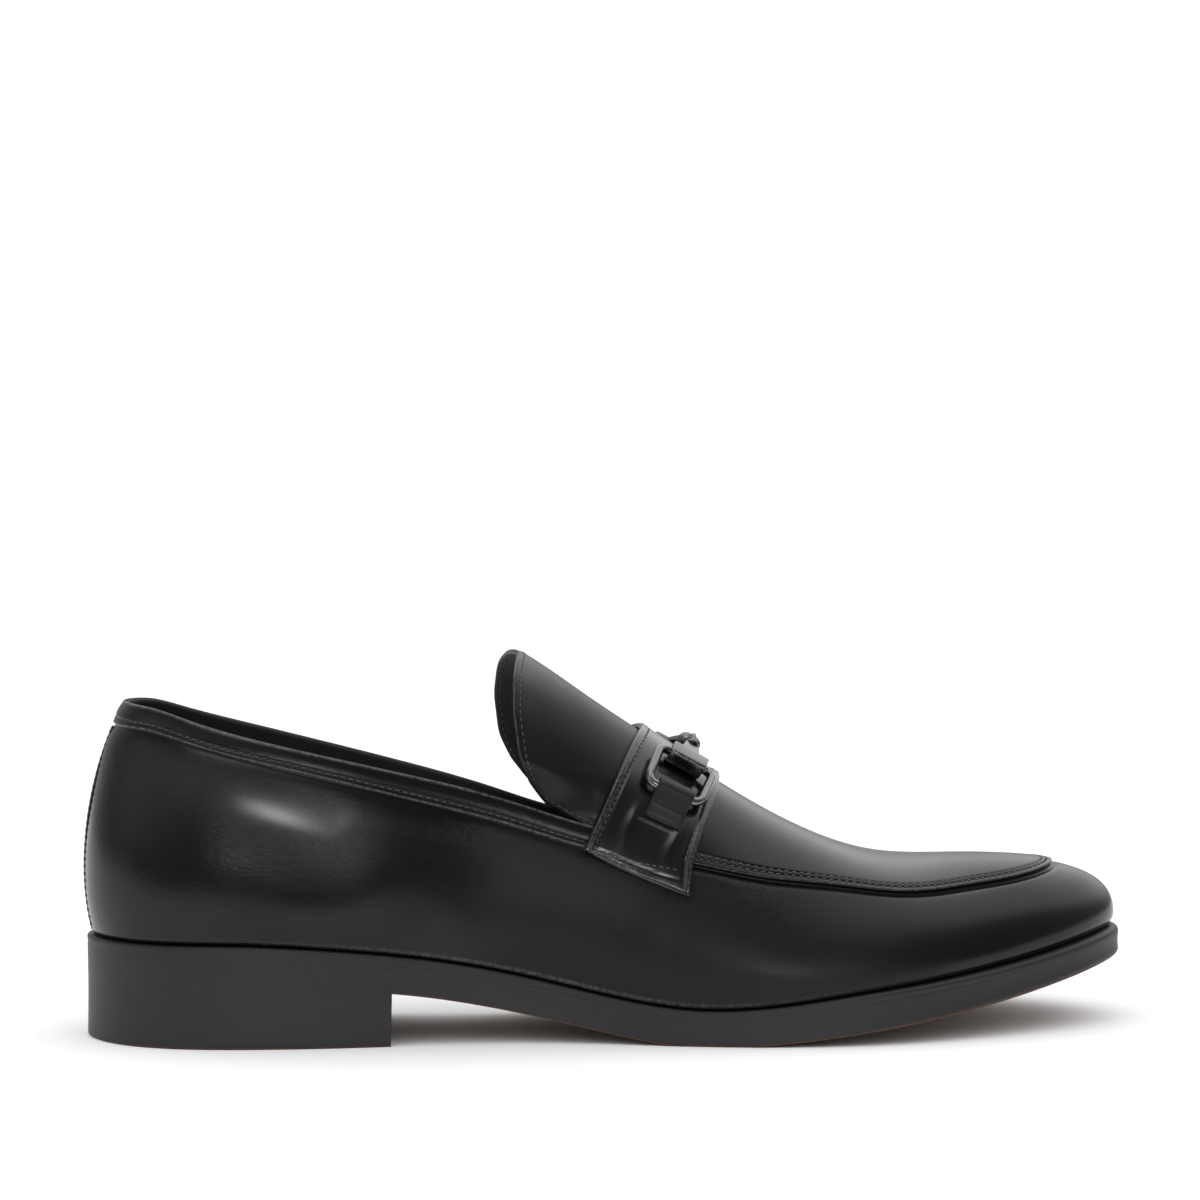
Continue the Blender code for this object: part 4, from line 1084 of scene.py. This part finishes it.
def sole_unit():
    """The moulded sole and heel.

    Its rows run from the middle of the underside out to the edge, round a quarter circle, up
    the side, which is drawn in a little between its two edges, over a rounded lip and across
    the top to the middle again. The heel's breast is where the underside drops to the floor.
    """
    breast = float(LAST.station_at(HEEL_LENGTH))
    waist = float(LAST.station_at(HEEL_LENGTH + BREAST_SLOPE))
    ring = ring_positions(130, 14, 150)
    clear = (np.abs(np.abs(ring) - breast) > 0.0022) & (np.abs(np.abs(ring) - waist) > 0.0022)
    ring = np.sort(np.concatenate([ring[clear], [-waist, -breast, breast, waist]]))
    station = np.abs(ring)
    edge = LAST.edge(ring)
    top = edge[:, 2]
    tread = np.maximum(edge[:, 3] - TREAD_FLAT, 0.0)
    under = np.where(station <= breast + 1e-9, 0.0, tread)
    turn = np.linspace(0.0, math.pi / 2, 8)[:, None]
    front = smooth_step((station - 0.6) / 0.35)
    bend = EDGE_ROUND * (1.0 + 1.2 * front)
    low_inset = bend * (1.0 - np.sin(turn))
    low_height = under + bend * (1.0 - np.cos(turn))
    side = np.linspace(0.0, 1.0, 26)[1:-1, None]
    side_low = low_height[-1]
    over = EDGE_ROUND * (0.9 + 1.3 * front)
    side_high = top - 1.15 * over
    side_height = side_low + (side_high - side_low) * side
    from_top = top - side_height
    line = 0.00022 * bell(from_top - 0.0023, 0.00035) * (1.0 - front)
    side_inset = 0.00018 * np.sin(np.pi * side) + line
    lip = np.linspace(0.0, math.pi / 2, 8)[:, None]
    lip_inset = over * (1.0 - np.cos(lip))
    lip_height = top - over * (1.0 - np.sin(lip))
    ledge = np.broadcast_to(np.array([[0.0024], [0.0034], [0.0050]]), (3, len(top)))
    inset = np.concatenate([low_inset, side_inset, lip_inset, ledge])
    height = np.concatenate([low_height, side_height, lip_height,
                             np.broadcast_to(top, ledge.shape)])
    flat = edge[:, :2] - LAST.outward(ring) * inset[..., None]
    side_rows = np.concatenate([flat, height[..., None]], axis=-1)
    share = np.linspace(1.0, 0.0, 9)[:-1, None, None]
    below = inward(side_rows[0], share)
    points = np.concatenate([below, side_rows, inward(side_rows[-1], share)[::-1]])
    quads = grid_quads(len(points), len(ring), wrap_columns=True)
    zones = (quads[:, 0] // len(ring) < len(below) + 5).astype(int)
    return piece("moulded_sole_and_heel", points.reshape(-1, 3), quads, (SOLE_RUBBER, TREAD),
                 replaces=("sole_unit",), slot="sole_rubber", zones=zones)


def insole():
    """The insole and its sock, cupped up a little at the edge, with a rounded rim."""
    ring = ring_positions(90, 12, 100)
    rows = []
    turn = np.linspace(0.0, math.pi / 2, 5)
    base = SOLE_EDGE + WALL + CLEARANCE
    for lift, inset in ((CLEARANCE, base), *(
            (CLEARANCE + INSOLE_THICKNESS - 0.0008 + 0.0008 * math.sin(a),
             base + 0.0008 * (1.0 - math.cos(a))) for a in turn)):
        foot = LAST.foot(ring, np.full(len(ring), inset))
        foot[:, 2] += lift
        rows.append(foot)
    rows = np.array(rows)
    share = np.linspace(0.0, 1.0, 14)[1:, None, None]
    above = inward(rows[-1], share)
    above[..., 2] -= 0.0006 * np.sin(np.pi / 2 * share[..., 0])
    points = np.concatenate([inward(rows[0], share[::-1]), rows, above])
    quads = grid_quads(len(points), len(ring), wrap_columns=True)
    return piece("insole_and_sock", points.reshape(-1, 3), quads, (LINING,),
                 replaces=("insole",), slot="insole_leather")


# The tongue and the strap
def strap_x(size, along):
    """How far along the shoe the strap's points lie: size runs from the crown line to its end,
    and along from its rear edge to its front edge."""
    sweep = size**STRAP_SWEEP_POWER
    rear = STRAP_REAR - STRAP_REAR_SWEEP * sweep
    front = STRAP_FRONT - STRAP_FRONT_SWEEP * sweep
    return (rear + (front - rear) * along) * SHOE_LENGTH


def tongue():
    """The tongue: two leathers with their edges turned together.

    It is level with the apron in the open, sinks under the upper at its sides by a smooth step,
    and its free edge is carried aside by the square of the way back from the strap. A shallow
    channel runs where its stitches lie.
    """
    across, wall, free, root, flare = np.array(TONGUE_SHAPE).T
    knots = np.concatenate([-across[:0:-1], across])
    side = np.linspace(-1.0, 1.0, 181)
    size = np.abs(side)

    def eased(values):
        """A table's column over the sides, with its corners rounded off."""
        fine = np.linspace(-1.0, 1.0, 721)
        line = np.interp(fine, knots, np.concatenate([values[:0:-1], values]))
        wide = np.pad(line, 30, mode="edge")
        weight = np.hanning(61)
        weight = weight / weight.sum()
        soft = np.convolve(wide, weight, mode="valid")
        ends = smooth_step((1.0 - np.abs(fine)) / 0.08)
        return np.interp(side, fine, line + (soft - line) * ends)

    free_x = eased(free) * SHOE_LENGTH
    root_x = eased(root) * SHOE_LENGTH
    along = np.linspace(0.0, 1.0, 121)[:, None]
    x = root_x + (free_x - root_x) * along
    ring = np.where(side < 0.0, -1.0, 1.0) * LAST.station_at(x)
    share = np.broadcast_to(np.interp(size, across, wall), ring.shape)
    slope = 1.5 * TONGUE_TUCK
    tucked = 1.0 - smooth_step((LAST.open_by(ring, share) - TONGUE_MARGIN) / slope)
    height = RELIEF - tucked * (RELIEF + WALL + TUCK_CLEARANCE)
    strap_edge = strap_x((1.0 - share) / (1.0 - STRAP_END), 0.0)
    bare = np.clip((strap_edge - x) / (strap_edge - free_x), 0.0, 1.0)
    aside = TONGUE_FLARE * eased(flare) * bare**2 * (1.0 - tucked) * np.sign(side)
    outer = LAST.raised(ring, share, height)
    inner = LAST.raised(ring, share, height - TONGUE_THICKNESS)
    outer[..., 1] += aside
    inner[..., 1] += aside
    middle = (outer + inner) / 2
    gap = edge_distance(middle)
    out = unit(outer - inner)
    channel = (0.00016 * bell(gap - TONGUE_MARGIN_ROW, 0.00030)
               + 0.0002 * (1.0 - smooth_step(gap / 0.0012)))[..., None]
    outer_skin = outer - out * channel
    inner_skin = inner + out * channel
    points, quads = leaf(outer_skin, inner_skin, 0.00045, 2)
    skin = grid_quads(*outer.shape[:2])
    zones = np.zeros(len(quads), dtype=int)
    zones[len(skin):2 * len(skin)] = 1
    rim = len(points) - 2 * outer[..., 0].size
    # Painted highlight: the rolled rim's base colour lightened, point by point across it.
    painted_edge_highlight = np.zeros(len(points))
    painted_edge_highlight[-rim:] = np.repeat(RIM_HIGHLIGHT, rim // len(RIM_HIGHLIGHT))
    piece("tongue_leathers", points, quads, (TONGUE_CALF, LINING), replaces=("tongue",),
          slot="tongue_leather", zones=zones, fields={"edge": painted_edge_highlight})
    borders = (("far", 0.055, 0.945), ("left", 0.45, 0.985), ("right", 0.45, 0.985))
    threads = []
    for skin_points, face in ((outer, out), (inner, -out)):
        threads += border_stitches(skin_points, face, borders, TONGUE_MARGIN_ROW, -THREAD_LIFT,
                                   FINE_PITCH)
    return piece("tongue_stitches", *together(threads), (THREAD_BLACK,))


def strap_grid(rows, columns):
    """The strap's ring positions, wall shares and rest heights on a fine grid."""
    side = np.linspace(-1.0, 1.0, columns)
    size = np.abs(side)
    ring = np.where(side < 0.0, -1.0, 1.0) * LAST.station_at(
        strap_x(size, np.linspace(0.0, 1.0, rows)[:, None]))
    seam = LAST.marks(ring)[..., 0] - SEAM_STEP
    lower = np.clip((size - STRAP_LAST_ROW) / (1.0 - STRAP_LAST_ROW), 0.0, 1.0)
    end = np.minimum(STRAP_END, seam)
    share = np.where(size > STRAP_LAST_ROW, seam + (end - seam) * lower,
                     1.0 - (1.0 - seam) * size / STRAP_LAST_ROW)
    drop = smooth_step((seam - share) / 0.09)
    return ring, share, CURVED_CLEARANCE + RELIEF * (1.0 - 0.5 * drop), size


def strap():
    """The strap: a bead and a groove run just inside its edge, a row of stitches inside them,
    and on each side a slot takes the end of a tab.

    Its height above its rest is a bead as a half sine over the first millimetre, a second one
    beyond a narrow groove, and a dip where the stitches pull it down.
    """
    ring, share, rest, size = strap_grid(73, 331)
    inner = LAST.raised(ring, share, rest)
    outer = LAST.raised(ring, share, rest + STRAP_THICKNESS)
    gap = edge_distance(outer)
    out = LAST.normal(ring, share)
    bead = 0.00030 * np.sin(np.pi * np.clip(gap / 0.0010, 0.0, 1.0))
    bead = bead + 0.00026 * np.sin(np.pi * np.clip((gap - 0.0010) / 0.0009, 0.0, 1.0))
    bead = bead - 0.00022 * bell(gap - STRAP_MARGIN_ROW, 0.00030)
    # Painted highlight: the base colour lightened along the two beads inside the edge.
    painted_edge_highlight = 0.55 * bell(gap - 0.0005, 0.00030) + 0.5 * bell(gap - 0.00145, 0.00030)
    run = arc_lengths(outer, 1)
    from_crown = np.abs(run - run[:, [run.shape[1] // 2]])
    forward = (outer[..., 0] - strap_x(size, 0.5)) / INSTEP_SLOPE - BIT_FORWARD - TAB_ASIDE
    slot = RING_FROM_CROWN + BAR_ASIDE + TAB_LENGTH - 0.0002
    inside = smooth_step((TAB_WIDTH / 2 + 0.0014 - np.abs(forward)) / 0.0010)
    cut = -0.00020 * bell(from_crown - slot, 0.00030)
    pull = np.zeros(gap.shape)
    for aside, lean, height in STRAP_PULLS:
        off = forward - aside - lean * (from_crown - slot)
        pull += height * bell(off, 0.0016) * bell(from_crown - slot - 0.003, 0.0055)
    stand = bead + cut * inside + pull * smooth_step((gap - 0.002) / 0.002)
    outer = outer + out * stand[..., None]
    points, quads = leaf(outer, inner, 0.0004, 2)
    # A painted highlight along the slot's edge as well.
    painted_edge_highlight += 0.9 * inside * bell(from_crown - slot, 0.00025)
    edge = np.concatenate([painted_edge_highlight.ravel(), np.zeros(len(points) - painted_edge_highlight.size)])
    piece("instep_strap", points, quads, (STRAP_CALF,), replaces=("strap",), slot="strap_leather",
          fields={"edge": edge})
    borders = (("near", 0.03, 0.97), ("far", 0.03, 0.97), ("left", 0.12, 0.88),
               ("right", 0.12, 0.88))
    threads = border_stitches(outer, out, borders, STRAP_MARGIN_ROW, THREAD_LIFT, 0.0020,
                              0.00040, 700)
    return piece("strap_stitches", *together(threads), (THREAD_BLACK,))


# The bit and its tabs
def over_strap(points, side):
    """Carry flat points onto the strap on one side of the shoe.

    A flat point is its distance forward of the strap's middle, its distance from the crown
    line, measured over the leather, and its height above the strap. The first two are read off
    a fine map of the strap's own surface, and the third is laid along its outward direction.
    """
    flat = np.asarray(points, dtype=float)
    shares = np.linspace(1.0, 0.2, 161)
    lift = RELIEF + CURVED_CLEARANCE + STRAP_THICKNESS
    forward, from_crown, height = flat[..., 0], flat[..., 1], flat[..., 2]
    way = np.where(from_crown >= 0.0, side, -side)
    fine = np.linspace(strap_x(1.0, 0.0) - 0.02, strap_x(0.0, 1.0) + 0.02, 201)
    maps = {}
    for hand in (-1, 1):
        ring = hand * LAST.station_at(fine)
        line = LAST.raised(ring[:, None], shares[None, :], lift)
        maps[hand] = arc_lengths(line, 1)
    x = np.full(forward.shape, strap_x(0.0, 0.5)) + forward * INSTEP_SLOPE
    share = np.ones(forward.shape)
    for _ in range(4):
        row = np.clip((x - fine[0]) / (fine[1] - fine[0]), 0, len(fine) - 1.001)
        low = row.astype(int)
        part = (row - low)[..., None]
        run = np.where((way > 0)[..., None],
                       maps[1][low] * (1 - part) + maps[1][low + 1] * part,
                       maps[-1][low] * (1 - part) + maps[-1][low + 1] * part)
        index = np.clip((run < np.abs(from_crown)[..., None]).sum(axis=-1) - 1, 0, 159)
        near = np.take_along_axis(run, index[..., None], -1)[..., 0]
        far = np.take_along_axis(run, index[..., None] + 1, -1)[..., 0]
        past = (np.abs(from_crown) - near) / (far - near)
        share = shares[index] + (shares[1] - shares[0]) * past
        x = strap_x(np.maximum(1.0 - share, 0.0) / (1.0 - STRAP_END), 0.5) + forward * INSTEP_SLOPE
    return LAST.raised(way * LAST.station_at(x), np.minimum(share, 1.0), lift + height)


def oval(half_across, half_high, sides):
    """Points round an ellipse."""
    turn = 2 * math.pi * (np.arange(sides) + 0.5) / sides
    return np.column_stack([half_across * np.cos(turn), half_high * np.sin(turn)])


def squared(half_across, half_high, sides, power=5.0):
    """Points round a rectangle with rounded corners: an ellipse whose cosine and sine are
    raised to two over a power."""
    turn = 2 * math.pi * (np.arange(sides) + 0.5) / sides
    cosine = np.cos(turn)
    sine = np.sin(turn)
    return np.column_stack([half_across * np.sign(cosine) * np.abs(cosine) ** (2.0 / power),
                            half_high * np.sign(sine) * np.abs(sine) ** (2.0 / power)])


def ring(name, side, node):
    """One ring of the bit: an oval bar along a rectangle with round corners.

    The middle line is four quarter circles joined by straight runs, stepped evenly.
    """
    half_x = (RING_LENGTH - RING_BAR) / 2
    half_y = BAR_ASIDE
    corner = RING_CORNER - RING_BAR / 2
    turn = np.radians(np.linspace(0.0, 90.0, 13))
    middles = []
    outs = []
    for quarter, (sx, sy) in enumerate(((1, 1), (-1, 1), (-1, -1), (1, -1))):
        angle = turn + quarter * math.pi / 2
        out = np.column_stack([np.cos(angle), np.sin(angle), np.zeros(len(angle))])
        centre = np.array([sx * (half_x - corner), sy * (half_y - corner), 0.0])
        middles.append(centre + corner * out)
        outs.append(out)
    corners = np.concatenate(middles)
    ways = np.concatenate(outs)
    after = np.roll(corners, -1, axis=0)
    share = np.linspace(0.0, 1.0, 9)[:-1, None]
    path = []
    across = []
    for start in range(4):
        last = 13 * start + 12
        path += [corners[13 * start:last], corners[last] + (after[last] - corners[last]) * share]
        across += [ways[13 * start:last], np.repeat(ways[last:last + 1], 8, 0)]
    path = np.concatenate(path)
    across = np.concatenate(across)
    high = np.tile(np.array([0.0, 0.0, 1.0]), (len(path), 1))
    points, quads = swept(path, across, high, oval(RING_BAR / 2, RING_BAR / 2, 16))
    points = points + np.array([BIT_FORWARD, RING_FROM_CROWN, BAR_HEIGHT])
    return piece(name, over_strap(points, side), quads, (RING_METAL,), replaces=(node,),
                 slot="gunmetal")


def tab(name, side, node):
    """A leather tab: it comes out of its slot, passes under the ring's outer bar, turns round
    it as part of a circle and lies back over itself.

    Its two faces are the path moved to either side by half its thickness, and its long edges
    are rounded off.
    """
    bar = BAR_HEIGHT
    bend = RING_BAR / 2 + CLEARANCE + TAB_THICKNESS / 2
    low = CLEARANCE + TAB_THICKNESS / 2
    angle = np.radians(np.linspace(-90.0, 120.0, 29))
    arc = np.column_stack([bend * np.cos(angle), bar + bend * np.sin(angle)])
    flat = np.column_stack([np.linspace(-TAB_TAIL, 0.0, 8)[:-1], np.full(7, low)])
    end = np.array([-TAB_TAIL, low + TAB_THICKNESS + CLEARANCE])
    down = arc[-1] + (end - arc[-1]) * np.linspace(0.0, 1.0, 9)[1:, None]
    share = np.linspace(0.0, 1.0, 12)[1:, None]
    foot = np.array([-TAB_LENGTH, low * 0.5])
    tail = end + (foot - end) * share
    tail[:, 1] = end[1] + (foot[1] - end[1]) * smooth_step(share[:, 0])
    path = np.concatenate([flat, arc, down, tail])
    run = unit(np.gradient(path, axis=0))
    out = np.column_stack([run[:, 1], -run[:, 0]])
    edge = RING_FROM_CROWN + BAR_ASIDE
    half = TAB_WIDTH / 2
    level = np.linspace(-1.0, 1.0, 25)
    spread = half * level + BIT_FORWARD + TAB_ASIDE
    thin = TAB_THICKNESS / 2 * (1.0 - 0.35 * smooth_step((np.abs(level) - 0.88) / 0.12))
    groove = 0.00008 * bell((1.0 - np.abs(level)) * half - 0.0011, 0.00025)

    def face(way):
        """One face of the tab, as flat points."""
        offset = way * (thin - groove)[None, :, None] * out[:, None]
        place = path[:, None] + offset
        return stacked(spread, edge - place[..., 0], place[..., 1])

    outer = over_strap(face(1.0), side)
    inner = over_strap(face(-1.0), side)
    points, quads = leaf(outer, inner, 0.00025, 1)
    return piece(name, points, quads, (TAB_CALF,), replaces=(node,), slot="tab_leather")


def bit_half(name, side, node):
    """Half of the bit's bar: a squared barrel on the ring, a neck that narrows as a root, a
    corded knot and an eye.

    The knot's radius swells and falls three times round it as it turns, as twisted wire does.
    The outer side's eye lies flat and the inner side's stands, and each passes through the other.
    """
    bar = BAR_HEIGHT
    inner_bar = RING_FROM_CROWN - BAR_ASIDE
    hole = RING_BAR / 2 + CLEARANCE
    half = hole + BARREL_WALL
    eye_radius = (EYE_DIAMETER - EYE_WIRE) / 2
    eye_place = eye_radius / 2
    eye_height = EYE_DIAMETER / 2 + EYE_LIFT
    knot_place = eye_place + eye_radius + KNOT_DIAMETER / 2

    ends = np.array([-1.0, -0.985, -0.95, -0.5, 0.0, 0.5, 0.95, 0.985, 1.0])
    shrink = np.array([0.90, 0.97, 1.0, 1.0, 1.0, 1.0, 1.0, 0.97, 0.90])
    outline = squared(half, half, 40)
    bore = oval(hole, hole, 40)[::-1]
    x = BIT_FORWARD + ends[:, None] * BARREL_LENGTH / 2
    sides = outline[None] * shrink[:, None, None]
    shell = stacked(x, inner_bar + sides[..., 0], bar + sides[..., 1])
    inside = stacked(x[::-1] * 0.999, inner_bar + bore[::-1, 0], bar + bore[::-1, 1])
    barrel = np.concatenate([shell, inside])
    parts = [(barrel.reshape(-1, 3), grid_quads(len(barrel), 40, True, True))]

    part = np.linspace(0.0, 1.0, 17)[:, None]
    width = (NECK_WIDTH + (NECK_END_WIDTH - NECK_WIDTH) * np.sqrt(part)) / 2
    shape = squared(1.0, 1.0, 32, 4.0)
    place = inner_bar - hole + (knot_place - inner_bar + hole) * part
    middle = bar + (eye_height - bar) * part
    parts.append(capped(stacked(BIT_FORWARD + width * shape[:, 0], place,
                                middle + NECK_THICKNESS / 2 * shape[:, 1])))

    across = np.linspace(-0.97, 0.97, 33)[:, None]
    turn = 2 * math.pi * np.arange(48)[None, :] / 48
    swell = 1.0 + 0.10 * np.sin(5.0 * turn + 14.0 * across)
    radius = KNOT_DIAMETER / 2 * np.sqrt(1.0 - across**2) * swell
    parts.append(capped(stacked(BIT_FORWARD + radius * np.cos(turn),
                                knot_place + across * KNOT_DIAMETER / 2,
                                eye_height + radius * np.sin(turn))))
    collar = 2 * math.pi * np.arange(36) / 36
    round_neck = np.column_stack([np.cos(collar), np.zeros(36), np.sin(collar)])
    centre = np.array([BIT_FORWARD, knot_place + 0.42 * KNOT_DIAMETER, eye_height])
    forth = np.tile(np.array([0.0, 1.0, 0.0]), (36, 1))
    parts.append(swept(centre + 0.0017 * round_neck, round_neck, forth, oval(0.0005, 0.0005, 12)))

    angle = 2 * math.pi * np.arange(48) / 48
    flat = np.array([0.0, 0.0, 1.0]) if side > 0 else np.array([1.0, 0.0, 0.0])
    through = np.array([1.0, 0.0, 0.0]) if side > 0 else np.array([0.0, 0.0, 1.0])
    radial = (np.cos(angle)[:, None] * np.array([0.0, 1.0, 0.0])
              + np.sin(angle)[:, None] * flat)
    centre = np.array([BIT_FORWARD, eye_place, eye_height])
    parts.append(swept(centre + eye_radius * radial, radial, np.tile(through, (48, 1)),
                       oval(EYE_WIRE / 2, EYE_WIRE / 2, 14)))
    points, quads = together(parts)
    return piece(name, over_strap(points, side), quads, (BAR_METAL,), replaces=(node,),
                 slot="gunmetal")


upper()
upper_stitches()
back_seam()
sole_unit()
insole()
tongue()
strap()
for side, word in ((-1, "lateral"), (1, "medial")):
    ring("bit_ring_" + word, side, "ring_" + word)
    tab("bit_tab_" + word, side, "tab_" + word)
    bit_half("bit_link_" + word, side, "bit_bar_" + word)


# Floor, light and camera
def studio():
    """A pale floor in an even white room. In reflections the room is dark on the camera's side
    and white behind the shoe, with a soft window in each of the directions of WINDOWS."""
    (x0, y0), (x1, y1) = FLOOR_CORNERS
    mesh = bpy.data.meshes.new("floor")
    mesh.from_pydata([(x0, y0, 0.0), (x1, y0, 0.0), (x1, y1, 0.0), (x0, y1, 0.0)], [],
                     [(0, 1, 2, 3)])
    floor = bpy.data.objects.new("floor", mesh)
    bpy.context.scene.collection.objects.link(floor)
    paint = Recipe("pale_floor", Specular_IOR_Level=0.0, Roughness=0.9)
    cloud = paint.noise(3.0, 2.0)
    paint.feed("Base Color", paint.between((0.90, 0.90, 0.90), (0.92, 0.92, 0.92), cloud))
    mesh.materials.append(paint.material)

    world = bpy.data.worlds.new("studio")
    room = Nodes(world)
    room.tree.nodes.clear()
    way = room.node("ShaderNodeTexCoord", output="Generated")

    def facing(direction):
        """How far the ray's direction is one given, from -1 to 1."""
        held = room.node("ShaderNodeVectorMath", {"operation": "NORMALIZE"}, {0: direction})
        return room.node("ShaderNodeVectorMath", {"operation": "DOT_PRODUCT"},
                         {0: way, 1: held}, "Value")

    def eased(value, low, high):
        """0 below one edge and 1 above the other, by a smooth step."""
        return room.node("ShaderNodeMapRange", {"interpolation_type": "SMOOTHSTEP"},
                         {"Value": value, "From Min": low, "From Max": high})

    glow = eased(facing((0.0, 1.0, 0.0)), 0.15, 0.8) * BACKDROP + FRONT
    glow = glow + eased(facing(BOX_WAY), *BOX_EDGE) * BOX_STRENGTH
    horizon = eased(facing((0.0, 0.0, 1.0)), 0.02, 0.12)
    for direction, width, strength in WINDOWS:
        glow = glow + facing(direction).held() ** width * horizon * strength
    dome = facing((0.0, 0.0, 1.0)).held() * DOME_TOP + DOME_HORIZON
    glossy = room.node("ShaderNodeLightPath", output="Is Glossy Ray")
    seen = room.node("ShaderNodeLightPath", output="Is Camera Ray")
    strength = dome + glossy * (glow - dome) + seen * (1.0 - dome)
    light = room.node("ShaderNodeBackground", None,
                      {"Color": (1.0, 1.0, 1.0, 1.0), "Strength": strength})
    room.node("ShaderNodeOutputWorld", None, {0: light})
    bpy.context.scene.world = world


def camera():
    """The photograph's view of the outer side: 7 degrees towards the heel, a little above."""
    target = Vector((VIEW_ALONG - HEEL_MIDDLE, 0.0, VIEW_UP))
    around = math.radians(VIEW_TURN)
    rise = math.atan2(VIEW_RISE, VIEW_AWAY)
    far = math.hypot(VIEW_RISE, VIEW_AWAY)
    back = Vector((math.sin(around) * math.cos(rise), -math.cos(around) * math.cos(rise),
                   math.sin(rise)))
    data = bpy.data.cameras.new("camera")
    data.sensor_width = SENSOR
    data.lens = SENSOR * far / VIEW_WIDTH
    item = bpy.data.objects.new("camera", data)
    item.location = target + back * far
    item.rotation_euler = (-back).to_track_quat("-Z", "Y").to_euler()
    bpy.context.scene.collection.objects.link(item)
    bpy.context.scene.camera = item


studio()
camera()
bpy.context.scene.view_settings.view_transform = "Standard"
